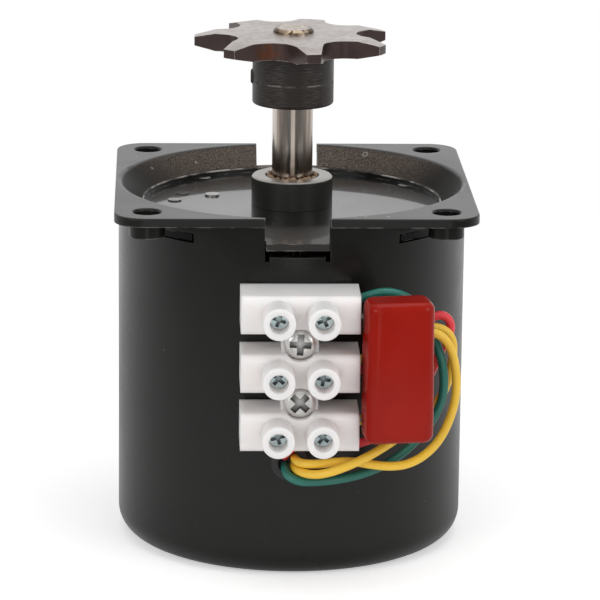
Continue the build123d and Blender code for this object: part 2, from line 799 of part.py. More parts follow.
def cross_recess(width, length, depth, x, front, z, turn):
    """A cross cut into a screw head that faces -Y."""
    blade = Box(width, depth * 2, length) + Box(length, depth * 2, width)
    return Pos(x, front, z) * Rot(0, turn, 0) * blade


def clamp_screws():
    """Screws sunk in the towers, reaching the bore of each barrel."""
    screws = []
    front = tower_front + clamp_screw_sink
    tip = barrel_y - barrel_bore / 2
    places = [(x, level) for level in pole_levels for x in tower_places]
    for (x, level), turn in zip(places, clamp_cross_turns):
        screw = rod_forward(clamp_screw_diameter / 2, x, level, tip, front)
        recess = cross_recess(clamp_cross_width, clamp_cross_length, clamp_cross_depth, x, front, level, turn)
        screws.append(screw - recess)
    return screws


def fixing_screws():
    """Pan-head screws through the webs into the wall of the can."""
    screws = []
    end = -(can_inner - screw_end_stop)
    front = web_front - fixing_head_height
    for level, turn in zip(fixing_levels, fixing_cross_turns):
        head = rod_forward(fixing_head_diameter / 2, terminal_x, level, web_front, front)
        head = fillet(head.edges().group_by(Axis.Y)[0], fixing_head_radius)
        screw = head + rod_forward(fixing_screw_diameter / 2, terminal_x, level, end, web_front)
        recess = cross_recess(fixing_cross_width, fixing_cross_length, fixing_cross_depth, terminal_x, front,
                              level, turn)
        screws.append(screw - recess)
    return screws


# Cords
def tube_along(points, diameter):
    """A round tube along straight runs and tangent arcs, with its radii and its volume against its length."""
    route = [Vector(*point) for point in points]
    runs = [after - before for before, after in zip(route, route[1:])]
    radii = []
    for before, after in zip(runs, runs[1:]):
        half_turn = math.radians(before.get_angle(after) / 2)
        radii.append(arc_share * min(before.length, after.length) / math.tan(half_turn))
    path = FilletPolyline(*route, radius=radii)
    section = Plane(origin=path @ 0, z_dir=path % 0) * Circle(diameter / 2)
    tube = sweep(section, path=path)
    expected = math.pi * diameter ** 2 / 4 * path.length
    return tube, radii, path.length, tube.volume / expected


# Routes of the winding leads, from the grommet, round the capacitor and into the right-hand terminals
left_hole = grommet_x - lead_spread
right_hole = grommet_x + lead_spread
low_hole = grommet_z - lead_spread
high_hole = grommet_z + lead_spread

lead_routes = {
    "green_lead": [
        (left_hole, -29.2, low_hole), (left_hole, -31.4, low_hole), (-1.6, -32.9, 19.0), (0.0, -33.5, 17.9),
        (2.4, -33.2, 17.5), (4.9, -32.7, 17.4), (7.5, -32.1, 17.6), (10.1, -31.6, 18.2), (12.6, -31.3, 19.1),
        (15.0, -31.1, 20.4), (17.4, -31.0, 22.0), (19.6, -31.1, 24.0), (22.3, -31.5, 27.4), (24.5, -32.0, 32.0),
        (24.7, -32.4, 37.0), (23.6, -33.1, 41.4), (21.7, -33.5, 45.2), (19.9, -33.7, 48.5), (17.6, -33.8, 50.5),
        (14.6, -33.7, 51.2), (11.7, -33.3, 50.4), (9.3, -33.1, 49.3), (6.8, -33.0, 49.0)],
    "outer_yellow_lead": [
        (right_hole, -29.2, high_hole), (right_hole, -31.3, high_hole), (0.3, -32.9, 21.5), (1.7, -33.9, 21.7),
        (4.0, -34.4, 22.1), (6.8, -34.4, 22.3), (9.8, -34.1, 22.0), (12.8, -33.7, 21.3), (15.8, -33.4, 20.9),
        (18.8, -33.1, 21.2), (21.8, -32.7, 22.7), (24.4, -32.2, 25.6), (26.3, -31.8, 30.0), (27.0, -31.4, 34.5),
        (26.7, -31.0, 38.4), (25.2, -30.9, 41.7), (22.4, -31.0, 43.7), (19.0, -31.4, 43.6), (16.2, -32.0, 42.2),
        (14.0, -32.5, 40.6), (11.9, -32.9, 39.5), (9.2, -33.0, 39.15), (6.0, -33.0, 39.1)],
    "inner_yellow_lead": [
        (right_hole, -29.2, low_hole), (right_hole, -31.6, low_hole), (0.2, -33.6, 19.8), (1.3, -35.2, 19.9),
        (3.2, -36.2, 20.1), (5.7, -36.6, 20.6), (8.3, -36.6, 21.6), (10.8, -36.1, 22.7), (13.0, -35.0, 23.7),
        (15.3, -33.2, 24.6), (18.0, -31.0, 25.8), (21.0, -28.9, 28.4), (23.9, -27.7, 32.4), (25.4, -27.0, 37.2),
        (25.3, -26.5, 41.6), (23.5, -26.4, 45.0), (20.3, -26.8, 46.3), (17.2, -27.6, 44.4), (15.3, -28.5, 40.8),
        (14.3, -29.6, 36.4), (13.2, -30.8, 32.3), (11.5, -32.2, 29.3), (9.0, -32.9, 27.9), (6.0, -33.0, 27.6)],
    "red_lead": [
        (left_hole, -29.2, high_hole), (left_hole, -31.7, high_hole), (-1.7, -33.0, 22.2), (-0.8, -33.6, 23.3),
        (1.0, -33.3, 23.9), (4.0, -32.7, 23.9), (7.4, -32.0, 23.8), (11.2, -31.0, 24.0), (15.2, -29.8, 25.8),
        (19.1, -28.8, 29.2), (21.7, -28.4, 33.2), (23.6, -28.4, 37.4), (25.3, -28.6, 41.2), (26.1, -28.8, 43.9),
        (25.2, -29.0, 45.4), (23.5, -29.2, 45.5), (21.5, -29.4, 43.2), (18.6, -29.9, 40.6), (15.4, -31.2, 38.4),
        (12.2, -32.5, 37.5), (9.2, -33.0, 37.4), (6.0, -33.0, 37.5)],
}


def capacitor_lead_routes():
    """Leads from the capacitor's left back edge into the top and bottom barrels, two bends each."""
    levels = (pole_levels[0] - capacitor_lead_offset, pole_levels[-1] + capacitor_lead_offset)
    tip_x = barrel_right - capacitor_tip_inset
    tip_y = barrel_y - capacitor_tip_drop
    plan = [
        (capacitor_x - capacitor_lead_inset, capacitor_y + capacitor_lead_back),
        (tip_x + capacitor_bend_reach, tip_y - capacitor_bend_drop),
        (tip_x + capacitor_entry_reach, tip_y - capacitor_entry_drop),
        (tip_x, tip_y),
    ]
    return [[(x, y, level) for x, y in plan] for level in levels]


def capacitor_body():
    """Dipped block with rounded edges, its leads potted into it."""
    place = Pos(capacitor_x, capacitor_y, capacitor_z) * Rot(0, 0, capacitor_turn)
    body = Box(capacitor_width, capacitor_thickness, capacitor_length)
    return place * fillet(body.edges(), capacitor_edge_radius)


def capacitor_leads():
    """Two tinned leads."""
    return [tube_along(route, capacitor_lead_diameter)[0] for route in capacitor_lead_routes()]


def lead_grommet():
    """Rubber grommet in the wall of the can."""
    flange_front = -can_radius - grommet_flange
    body = rod_forward(grommet_flange_diameter / 2, grommet_x, grommet_z, -can_radius, flange_front)
    body += rod_forward(grommet_neck_diameter / 2, grommet_x, grommet_z, -can_inner, -can_radius)
    body -= rod_forward(grommet_bore / 2, grommet_x, grommet_z, -can_inner + overrun, flange_front - overrun)
    return body


def build_nodes():
    """Every node's solid, or list of like solids."""
    nodes = {
        "motor_can": motor_can(),
        "mounting_flange": mounting_flange(),
        "gear_plate": gear_plate(),
        "output_bush": output_bush(),
        "output_shaft": output_shaft(),
        "retaining_ring": retaining_ring(),
        "thrust_washer": thrust_washer(),
        "sprocket_plate": sprocket_plate(),
        "sprocket_hub": sprocket_hub(),
        "hub_set_screw": set_screw(),
        "output_gear": output_gear(),
        "second_gear": second_gear(),
        "first_gear": first_gear(),
        "rotor_pinion": rotor_pinion(),
        "gear_pins": gear_pins(),
        "gear_spacers": gear_spacers(),
        "plate_pillars": plate_pillars(),
        "motor_plate": motor_plate(),
        "lower_pole_plate": lower_pole_plate(),
        "middle_pole_plate": middle_pole_plate(),
        "upper_pole_plate": upper_pole_plate(),
        "lower_bobbin": coil_bobbin(lower_plate_top, middle_plate_low),
        "upper_bobbin": coil_bobbin(middle_plate_top, upper_plate_low),
        "lower_winding": coil_winding(lower_plate_top, middle_plate_low),
        "upper_winding": coil_winding(middle_plate_top, upper_plate_low),
        "lower_bush": lower_bush(),
        "upper_bush": upper_bush(),
        "rotor_shaft": rotor_shaft(),
        "rotor_magnet": rotor_magnet(),
        "rotor_hub": rotor_hub(),
        "terminal_body": terminal_body(),
        "terminal_barrels": terminal_barrels(),
        "clamp_screws": clamp_screws(),
        "fixing_screws": fixing_screws(),
        "capacitor_body": capacitor_body(),
        "capacitor_leads": capacitor_leads(),
        "lead_grommet": lead_grommet(),
    }
    for name, route in lead_routes.items():
        tube, radii, length, ratio = tube_along(route, lead_diameter)
        print(name, "length", round(length, 1), "radii", [round(radius, 1) for radius in radii],
              "volume against section times length", round(ratio, 4))
        nodes[name] = tube
    return nodes


def main():
    os.makedirs("parts", exist_ok=True)
    for name, shape in build_nodes().items():
        solids = []
        for item in shape if isinstance(shape, list) else [shape]:
            solids.extend(item.solids())
        whole = solids[0] if len(solids) == 1 else Compound(children=solids)
        whole.label = name
        export_step(whole, f"parts/{name}.step")
        print(name, len(solids), round(sum(solid.volume for solid in solids), 1))


main()
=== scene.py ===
# %% [markdown]
# # A synchronous gear motor with a chain sprocket
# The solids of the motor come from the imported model. This lesson gives them their finishes, lays the
# four winding leads as smooth cords, and makes anew the pieces that need softer forms than a plain solid
# has. Everything is in metres, in the model's own frame: +Z up the shaft, -Y towards the terminal strip.

import bpy
import numpy as np
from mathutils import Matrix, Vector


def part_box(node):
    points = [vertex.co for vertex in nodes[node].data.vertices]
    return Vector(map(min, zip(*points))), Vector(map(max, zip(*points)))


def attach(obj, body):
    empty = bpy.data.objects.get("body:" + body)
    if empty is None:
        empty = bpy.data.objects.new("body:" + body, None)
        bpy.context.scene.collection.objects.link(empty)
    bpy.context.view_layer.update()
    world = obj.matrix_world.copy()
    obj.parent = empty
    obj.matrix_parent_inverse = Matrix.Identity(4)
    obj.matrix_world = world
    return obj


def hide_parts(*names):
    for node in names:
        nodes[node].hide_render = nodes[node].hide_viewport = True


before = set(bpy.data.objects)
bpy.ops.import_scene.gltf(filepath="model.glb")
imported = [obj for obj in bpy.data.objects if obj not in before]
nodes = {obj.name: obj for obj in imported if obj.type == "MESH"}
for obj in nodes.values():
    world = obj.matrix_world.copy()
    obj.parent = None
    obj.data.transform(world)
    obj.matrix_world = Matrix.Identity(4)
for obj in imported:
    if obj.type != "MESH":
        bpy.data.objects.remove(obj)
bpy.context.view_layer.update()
scene = bpy.context.scene
mm = 0.001

# %% [markdown]
# ## Camera
# The photograph was taken from far away with a long lens, a little to the left and above. The camera
# could be set by eye, but its place was worked out from the flange's corners, its holes and the can's
# outline, so that the direction, distance and focal length below make those points land where the
# photograph has them.

# %% Camera at the photograph's viewing angle
view_azimuth = -0.03885
view_elevation = 0.24918
view_roll = 0.01116
view_distance = 661.75 * mm
view_target = np.array([1.611, -0.063, 41.095]) * mm
focal_in_widths = 3791.9 / 600


def camera_axes(azimuth, elevation, roll):
    """Right, up and back: back points from the target to the lens, and the roll turns the other two."""
    back = np.array([np.sin(azimuth) * np.cos(elevation), -np.cos(azimuth) * np.cos(elevation),
                     np.sin(elevation)])
    right = np.array([np.cos(azimuth), np.sin(azimuth), 0.0])
    up = np.cross(back, right)
    return np.cos(roll) * right + np.sin(roll) * up, np.cos(roll) * up - np.sin(roll) * right, back


right_axis, up_axis, back_axis = camera_axes(view_azimuth, view_elevation, view_roll)
camera_matrix = np.eye(4)
camera_matrix[:3, :3] = np.stack([right_axis, up_axis, back_axis], axis=1)
camera_matrix[:3, 3] = view_target + back_axis * view_distance
lens = bpy.data.cameras.new("photo_camera")
lens.sensor_width = 36.0
lens.lens = focal_in_widths * lens.sensor_width
camera = bpy.data.objects.new("photo_camera", lens)
scene.collection.objects.link(camera)
camera.matrix_world = camera_matrix.T.tolist()
scene.camera = camera
print("camera lens", round(lens.lens, 1), "mm")

# %% [markdown]
# ## Winding leads
# Four limp PVC leads come out of a grommet under the strip, sweep round the capacitor and end in the
# right-hand terminals. Their routes could be drawn in the viewport, but points written down are easier to
# keep clear of the strip, the capacitor and each other. They began as the points of the solid leads, and
# some were moved a little to follow the photograph.

# %% Routes of the leads, in millimetres
lead_routes = {
    "green": [
        (-1.8, -29.2, 19.9), (-1.8, -31.1, 19.8), (-1.5, -33.0, 19.1), (0.3, -33.8, 18.3),
        (2.6, -33.4, 18.1), (5.0, -32.8, 18.1), (7.5, -32.1, 18.2), (10.1, -31.6, 18.6),
        (12.6, -31.3, 19.4), (15.0, -31.1, 20.4), (17.4, -31.0, 22.0), (19.6, -31.1, 24.0),
        (22.3, -31.5, 27.4), (24.5, -32.0, 32.0), (24.6, -32.1, 37.0), (23.4, -31.6, 41.6),
        (21.7, -31.9, 45.2), (19.9, -33.0, 48.5), (17.6, -33.8, 50.5), (14.6, -33.7, 51.2),
        (11.7, -33.3, 50.4), (9.3, -33.1, 49.3), (6.8, -33.0, 49.0),
    ],
    "outer_yellow": [
        (-0.2, -29.2, 21.5), (-0.2, -31.2, 21.5), (0.2, -33.0, 21.5), (1.5, -34.2, 21.5),
        (3.9, -34.6, 21.6), (6.8, -34.5, 22.0), (9.8, -34.1, 21.9), (12.8, -33.7, 21.2),
        (15.8, -33.4, 20.8), (18.8, -33.1, 21.1), (21.8, -32.7, 22.7), (24.4, -32.2, 25.6),
        (26.2, -31.8, 30.0), (26.8, -31.5, 34.0), (26.5, -31.9, 37.6), (25.8, -32.7, 40.6),
        (24.5, -33.4, 43.0), (22.6, -33.6, 44.2), (20.2, -33.4, 43.9), (17.6, -33.2, 42.4),
        (14.8, -33.0, 40.6), (11.9, -32.9, 39.5), (9.2, -33.0, 39.15), (6.0, -33.0, 39.1),
    ],
    "inner_yellow": [
        (-0.2, -29.2, 19.9), (-0.2, -31.2, 19.9), (0.4, -33.0, 19.9), (1.7, -34.6, 19.9),
        (3.5, -35.8, 20.1), (5.8, -36.5, 20.8), (8.3, -36.6, 21.8), (10.8, -36.1, 22.8),
        (13.0, -35.0, 23.7), (15.3, -33.2, 24.6), (18.0, -31.0, 25.8), (21.0, -29.4, 28.0),
        (23.8, -28.9, 30.6), (25.3, -28.8, 33.6), (25.9, -29.0, 36.6), (26.3, -29.4, 39.4),
        (26.0, -29.9, 42.2), (24.5, -30.0, 43.8), (22.2, -30.1, 44.2), (19.7, -30.8, 42.9),
        (17.4, -31.6, 40.4), (16.0, -31.9, 36.8), (14.6, -32.2, 33.0), (12.4, -32.7, 29.8),
        (9.4, -33.0, 28.0), (6.0, -33.0, 27.6),
    ],
    "red": [
        (-1.8, -29.2, 21.5), (-1.9, -29.9, 21.6), (-1.9, -30.9, 22.2), (-1.4, -31.7, 23.0),
        (-0.3, -31.9, 23.9), (1.4, -31.7, 24.2), (4.4, -31.3, 24.0), (7.4, -31.0, 23.8),
        (11.2, -30.5, 24.0), (15.2, -29.8, 25.8), (19.1, -28.8, 29.2), (21.7, -27.4, 33.2),
        (23.6, -27.2, 37.4), (24.5, -27.3, 39.8), (25.5, -27.5, 41.8), (26.0, -27.6, 43.6),
        (25.3, -27.7, 45.2), (23.9, -27.8, 45.7), (22.5, -27.9, 45.1), (21.4, -28.1, 43.6),
        (20.1, -28.4, 42.0), (18.1, -28.9, 40.4), (15.4, -30.2, 38.7), (12.2, -32.2, 37.6),
        (9.2, -33.0, 37.4), (6.0, -33.0, 37.5),
    ],
}
print("routes of", sum(len(route) for route in lead_routes.values()), "points")

# %% [markdown]
# A lead could be a chain of straight tubes, but a NURBS line with these control points bends the way a
# soft lead does, and a round bevel gives it its thickness.

# %% Leads as cords
lead_diameter = 1.5 * mm
leads = {}


def lay_lead(name, route, diameter):
    """A smooth NURBS line whose control points are the route's; a unit bevel times each point's radius."""
    curve = bpy.data.curves.new(name, "CURVE")
    curve.dimensions = "3D"
    curve.bevel_depth = 1.0
    curve.bevel_resolution = 5
    curve.use_fill_caps = True
    curve.resolution_u = 10
    spline = curve.splines.new("NURBS")
    spline.points.add(len(route) - 1)
    homogeneous = np.ones((len(route), 4))
    homogeneous[:, :3] = np.array(route) * mm
    spline.points.foreach_set("co", homogeneous.ravel())
    spline.points.foreach_set("radius", np.full(len(route), diameter / 2))
    spline.order_u = 3
    spline.use_endpoint_u = True
    lead = bpy.data.objects.new(name, curve)
    scene.collection.objects.link(lead)
    return lead


for colour, route in lead_routes.items():
    lead = lay_lead(colour + "_insulation", route, lead_diameter)
    leads[colour] = lead
    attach(lead, "frame")
    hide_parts(colour + "_lead")
print("laid", len(leads), "leads")

# %% [markdown]
# ## Surfaces on a grid
# The dipped capacitor and the grease by the shaft have no flat faces or true circles. Sculpting them
# would do, but a formula over a grid of two parameters is easier to read and to change, so one helper
# turns any such grid of points into a mesh.

# %% Grid helper


def grid_surface(name, points, fan_ends):
    """Quads between neighbours of a grid whose columns close round; the rows end in fans, or close too."""
    rows, columns = points.shape[:2]
    index = np.arange(rows * columns).reshape(rows, columns)
    if not fan_ends:
        index = np.concatenate([index, index[:1]])
    index = np.concatenate([index, index[:, :1]], axis=1)
    corners = [index[:-1, :-1], index[:-1, 1:], index[1:, 1:], index[1:, :-1]]
    faces = np.stack(corners, axis=-1).reshape(-1, 4).tolist()
    vertices = points.reshape(-1, 3)
    if fan_ends:
        vertices = np.concatenate([vertices, points[[0, -1]].mean(axis=1)])
        hub = np.full(columns, rows * columns)
        faces += np.stack([index[0, 1:], index[0, :-1], hub], axis=-1).tolist()
        faces += np.stack([index[-1, :-1], index[-1, 1:], hub + 1], axis=-1).tolist()
    mesh = bpy.data.meshes.new(name)
    mesh.from_pydata(vertices.tolist(), [], faces)
    mesh.polygons.foreach_set("use_smooth", np.ones(len(faces), dtype=bool))
    piece = bpy.data.objects.new(name, mesh)
    scene.collection.objects.link(piece)
    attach(piece, "frame")
    return piece


print("grid helper ready")

# %% [markdown]
# ## Dipped capacitor
# The run capacitor is a wound block dipped in resin, which rounds all its edges. A bevelled cube would
# look machined, so a rounded rectangle is carried up the block, and its inset follows a quarter circle at
# both ends.

# %% Capacitor block
dip_half = np.array([5.78, 3.73, 11.98]) * mm
dip_edge = 1.9 * mm
dip_end = 1.4 * mm
arc_steps = 9
side_steps = 8
wall_steps = 28


def rounded_section(half_x, half_y, radius, inset):
    """Four quarter arcs about the corners' centres, joined by straight sides cut into even steps."""
    arc = np.linspace(0.0, np.pi / 2, arc_steps)
    start = np.arange(4)[:, None] * np.pi / 2
    centre_x = (half_x - radius) * np.array([1, -1, -1, 1])[:, None]
    centre_y = (half_y - radius) * np.array([1, 1, -1, -1])[:, None]
    arcs = np.stack([centre_x + (radius - inset) * np.cos(start + arc),
                     centre_y + (radius - inset) * np.sin(start + arc)], axis=-1)
    share = np.linspace(0.0, 1.0, side_steps + 2)[None, 1:-1, None]
    after = np.roll(arcs, -1, axis=0)[:, :1]
    sides = arcs[:, -1:] + (after - arcs[:, -1:]) * share
    return np.concatenate([arcs, sides], axis=1).reshape(-1, 2)


def dipped_block(half, edge, end):
    """Rows go up: a flat end, a quarter round, a straight wall, a quarter round and a flat end again."""
    bend = np.linspace(0.0, np.pi / 2, arc_steps)
    inset = end * (1 - np.cos(bend))
    rise = half[2] - end + end * np.sin(bend)
    wall = np.linspace(-1.0, 1.0, wall_steps + 2)[1:-1] * (half[2] - end)
    insets = np.concatenate([inset[::-1], wall * 0, inset])
    levels = np.concatenate([-rise[::-1], wall, rise])
    rows = [rounded_section(half[0], half[1], edge, each) for each in insets]
    flat = [rows[-1] * share for share in (2 / 3, 1 / 3)]
    rows = np.stack(flat[::-1] + rows + flat)
    levels = np.concatenate([[levels[0]] * 2, levels, [levels[-1]] * 2])
    heights = np.broadcast_to(levels[:, None, None], rows.shape[:2] + (1,))
    return np.concatenate([rows, heights], axis=-1)


dip_block = dipped_block(dip_half, dip_edge, dip_end)
print("capacitor block has", len(dip_block), "rows")

# %% [markdown]
# The resin never dries quite flat. Bump in the finish could hint at that, but the mesh is also used by
# itself, so slow waves sink its skin by up to 0.3 mm. The block is then turned a little, as the real one
# hangs.

# %% Capacitor dip
dip_wave = 0.3 * mm
dip_turn = np.radians(8.0)
dip_shift = np.array([-0.1, 0.0, 0.35]) * mm


def resin_waves(points, half, depth):
    """Moves each point towards the block's axis by a share of the depth: a sum of three slow waves."""
    x, y, z = np.moveaxis(points / half, -1, 0)
    wave = np.sin(2.3 * z + 1.1 * x) + np.sin(4.1 * x - 1.7 * z + 0.6) + np.cos(3.2 * y + 2.6 * z)
    sink = depth * (3 + wave) / 6
    shrink = 1 - sink[..., None] / half * np.array([1.0, 1.0, 0.0])
    return points * shrink


def turned_about(points, turn, centre):
    """Turns points about the upright axis and sets them at the centre."""
    matrix = np.array([[np.cos(turn), -np.sin(turn), 0], [np.sin(turn), np.cos(turn), 0], [0, 0, 1]])
    return points @ matrix.T + centre


dip_centre = np.mean(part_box("capacitor_body"), axis=0) + dip_shift
dip_points = turned_about(resin_waves(dip_block, dip_half, dip_wave), dip_turn, dip_centre)
capacitor_dip = grid_surface("capacitor_dip", dip_points, True)
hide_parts("capacitor_body")
print("capacitor dip has", len(capacitor_dip.data.polygons), "faces")

# %% [markdown]
# ## Grease by the shaft
# Old grease has crept out of the bush and dried in a lumpy ring round the shaft. Scattered blobs could do
# it, but one closed ring whose width and height follow a few waves round the shaft keeps the mesh small
# and seamless.

# %% Grease ring
grease_middle = 4.05 * mm
grease_half_width = 0.45 * mm
grease_lift = 0.03 * mm
grease_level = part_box("retaining_ring")[1][2] + grease_lift
grease_height = 0.5 * mm
grease_seed = 7
lumps_round = np.array([3, 7, 11, 17, 26])
steps_round = 240
steps_across = 20


def lumpy_ring(middle, half_width, level, height):
    """A half-round section on a flat foot; waves round the shaft set how wide and how high it stands."""
    chance = np.random.default_rng(grease_seed)
    phases = chance.uniform(0.0, 2 * np.pi, lumps_round.size)
    turn = np.linspace(0.0, 2 * np.pi, steps_round, endpoint=False)[:, None]
    lumps = np.cos(lumps_round * turn + phases).mean(axis=1, keepdims=True)
    across = np.linspace(0.0, 2 * np.pi, steps_across, endpoint=False)[None, :]
    radius = middle + half_width * np.cos(across) * (0.75 + 0.5 * lumps)
    up = level + height * np.maximum(np.sin(across), 0.0) * (0.7 + 0.9 * lumps)
    return np.stack([radius * np.cos(turn), radius * np.sin(turn), up], axis=-1)


grease_points = lumpy_ring(grease_middle, grease_half_width, grease_level, grease_height)
grease = grid_surface("dried_grease", grease_points, False)
print("grease ring has", len(grease.data.polygons), "faces")

# %% [markdown]
# ## Tools for finishes
# A finish is a small tree of shader nodes. Writing each node out takes many lines, so one helper places a
# node, sets its values and links what it is given. The rest are steps that most finishes take.

# %% Node helpers


def put(tree, kind, inputs=None, **settings):
    """Places one node: settings are its properties, and each input is a value, or a socket to link."""
    made = tree.nodes.new(kind)
    for name, value in settings.items():
        setattr(made, name, value)
    for key, value in (inputs or {}).items():
        if isinstance(value, bpy.types.NodeSocket):
            tree.links.new(value, made.inputs[key])
        else:
            made.inputs[key].default_value = value
    return made


def math_node(tree, operation, first, second=0.0):
    """One arithmetic step, its result as a socket."""
    return put(tree, "ShaderNodeMath", {0: first, 1: second}, operation=operation).outputs[0]


def times(tree, first, second):
    """The product: a mask made weaker or stronger, or what two masks share."""
    return math_node(tree, "MULTIPLY", first, second)


def either(tree, first, second):
    """The larger of two masks."""
    return math_node(tree, "MAXIMUM", first, second)


def remap(tree, value, low, high, to_low=0.0, to_high=1.0):
    """Carries the range low to high over to another range, clamped and eased at both ends."""
    inputs = {"Value": value, "From Min": low, "From Max": high, "To Min": to_low, "To Max": to_high}
    return put(tree, "ShaderNodeMapRange", inputs, interpolation_type="SMOOTHSTEP").outputs["Result"]


def spread(tree, mask, low, high):
    """Carries a mask from 0 to 1 over to the range low to high."""
    return remap(tree, mask, 0.0, 1.0, low, high)


def band(tree, value, low, high, soft):
    """A mask that is one between low and high, with soft ends."""
    rise = remap(tree, value, low - soft, low + soft)
    return times(tree, rise, remap(tree, value, high - soft, high + soft, 1.0, 0.0))


def noise(tree, vector, scale, detail=3.0):
    """Cloudy noise at so many features to the metre."""
    inputs = {"Vector": vector, "Scale": scale, "Detail": detail}
    return put(tree, "ShaderNodeTexNoise", inputs).outputs["Fac"]


def mix_colour(tree, factor, first, second):
    """Mixes two colours by a mask."""
    made = put(tree, "ShaderNodeMix", data_type="RGBA")
    for index, value in ((0, factor), (6, first), (7, second)):
        if isinstance(value, bpy.types.NodeSocket):
            tree.links.new(value, made.inputs[index])
        else:
            made.inputs[index].default_value = value if index == 0 else (*value, 1.0)
    return made.outputs[2]


print("node helpers ready")

# %% [markdown]
# Many finishes ask where a point lies and which way its face looks. UV maps could say where, but the
# solids have none, so the helpers here read the model's own coordinates.

# %% Place helpers


def object_point(tree):
    """The point's place in the model's frame, as a vector socket."""
    return put(tree, "ShaderNodeTexCoord").outputs["Object"]


def split(tree, vector):
    """The x, y and z of a vector, as sockets."""
    return put(tree, "ShaderNodeSeparateXYZ", {0: vector}).outputs


def outward(tree):
    """The x, y and z of the direction that the surface faces."""
    return split(tree, put(tree, "ShaderNodeTexCoord").outputs["Normal"])


def facing_up(tree):
    """A mask of the faces that look up the shaft."""
    return remap(tree, outward(tree)[2], 0.85, 0.96)


def distance_to(tree, place):
    """How far the point lies from one place, in metres."""
    ends = {0: object_point(tree), 1: place}
    return put(tree, "ShaderNodeVectorMath", ends, operation="DISTANCE").outputs["Value"]


print("place helpers ready")

# %% [markdown]
# Effects that several finishes share become node groups, and each finish is one Principled shader with
# colour, roughness and relief linked to it. Setting these up by hand would repeat the same lines, so the
# helpers here start a group or a finish and hand back its parts.

# %% Group and finish helpers
bevel_samples = 6


def new_group(name, inputs, outputs):
    """An empty node group with float sockets of these names: its tree, inner inputs and inner outputs."""
    tree = bpy.data.node_groups.new(name, "ShaderNodeTree")
    for label, start in inputs.items():
        socket = tree.interface.new_socket(name=label, in_out="INPUT", socket_type="NodeSocketFloat")
        socket.default_value = start
    for label in outputs:
        tree.interface.new_socket(name=label, in_out="OUTPUT", socket_type="NodeSocketFloat")
    return tree, tree.nodes.new("NodeGroupInput").outputs, tree.nodes.new("NodeGroupOutput").inputs


def use_group(tree, name, **values):
    """Places a shared effect in a tree with its own values."""
    made = put(tree, "ShaderNodeGroup", node_tree=bpy.data.node_groups[name])
    for label, value in values.items():
        made.inputs[label.replace("_", " ")].default_value = value
    return made.outputs


def new_finish(name, **shader):
    """A material with one Principled shader, whose plain values are set on its own sockets."""
    material = bpy.data.materials.new(name)
    material.use_nodes = True
    tree = material.node_tree
    principled = tree.nodes["Principled BSDF"]
    for label, value in shader.items():
        principled.inputs[label.replace("_", " ")].default_value = value
    return material, tree, principled


def dress(tree, principled, colour, roughness, height, depth, soft_edge=0.0):
    """Links colour, roughness and a relief of this depth; a soft edge also rounds the corners' shading."""
    tree.links.new(colour, principled.inputs["Base Color"])
    tree.links.new(roughness, principled.inputs["Roughness"])
    relief = put(tree, "ShaderNodeBump", {"Height": height, "Distance": depth, "Strength": 1.0})
    if soft_edge:
        rounded = put(tree, "ShaderNodeBevel", {"Radius": soft_edge}, samples=bevel_samples)
        tree.links.new(rounded.outputs["Normal"], relief.inputs["Normal"])
    tree.links.new(relief.outputs["Normal"], principled.inputs["Normal"])


print("group and finish helpers ready")

# %% [markdown]
# ## Shared effects
# Painted steel has a fine skin like orange peel, slow clouds of gloss and a few specks of dust. A painted
# image could hold these, but noise that is worked out at each point has no seams. This group and those
# after it hand out masks, heights and distances, and each finish uses them in its own way.

# %% Paint skin


def build_paint_skin():
    """Height: fine noise. Cloud: slow noise from 0 to 1. Specks: small spots at the seeds of some cells."""
    inputs = {"Peel Scale": 900.0, "Speck Scale": 260.0, "Speck Size": 0.1}
    tree, inside, outside = new_group("paint_skin", inputs, ["Height", "Cloud", "Specks"])
    point = object_point(tree)
    slow = {"Vector": point, "Scale": 45.0, "Detail": 5.0, "Roughness": 0.6}
    cloud = put(tree, "ShaderNodeTexNoise", slow).outputs["Fac"]
    cells = put(tree, "ShaderNodeTexVoronoi", {"Vector": point, "Scale": inside["Speck Scale"]}).outputs
    near = math_node(tree, "LESS_THAN", cells["Distance"], inside["Speck Size"])
    rare = math_node(tree, "GREATER_THAN", cells["Color"], 0.62)
    tree.links.new(noise(tree, point, inside["Peel Scale"]), outside["Height"])
    tree.links.new(remap(tree, cloud, 0.3, 0.7), outside["Cloud"])
    tree.links.new(times(tree, near, rare), outside["Specks"])


build_paint_skin()
print("paint skin ready")

# %% [markdown]
# Turned steel has rings from the tool, and several finishes change with the distance from the shaft's
# axis or with the height. Ring textures could be placed in each material, but most turned faces here
# share one axis, so one group measures from it and another makes rings of that.

# %% Shaft axis and tool rings


def build_shaft_axis():
    """Radius: distance from the shaft's axis. Level: height above the base. Both in millimetres."""
    tree, _, outside = new_group("shaft_axis", {}, ["Radius", "Level"])
    x, y, z = split(tree, object_point(tree))
    square = math_node(tree, "ADD", times(tree, x, x), times(tree, y, y))
    tree.links.new(times(tree, math_node(tree, "SQRT", square), 1 / mm), outside["Radius"])
    tree.links.new(times(tree, z, 1 / mm), outside["Level"])


def build_tool_rings():
    """Height: a sine of radius plus level, shifted by noise so that the rings differ. Shade: that noise."""
    tree, inside, outside = new_group("tool_rings", {"Rings": 9.0, "Wander": 6.0}, ["Height", "Shade"])
    place = use_group(tree, "shaft_axis")
    along = math_node(tree, "ADD", place["Radius"], place["Level"])
    slow = {"W": times(tree, along, 1.4), "Detail": 3.0}
    drift = put(tree, "ShaderNodeTexNoise", slow, noise_dimensions="1D").outputs["Fac"]
    even = times(tree, along, inside["Rings"])
    phase = math_node(tree, "ADD", even, times(tree, drift, inside["Wander"]))
    tree.links.new(math_node(tree, "SINE", phase), outside["Height"])
    tree.links.new(remap(tree, drift, 0.3, 0.7), outside["Shade"])


build_shaft_axis()
build_tool_rings()
print("shaft axis and tool rings ready")

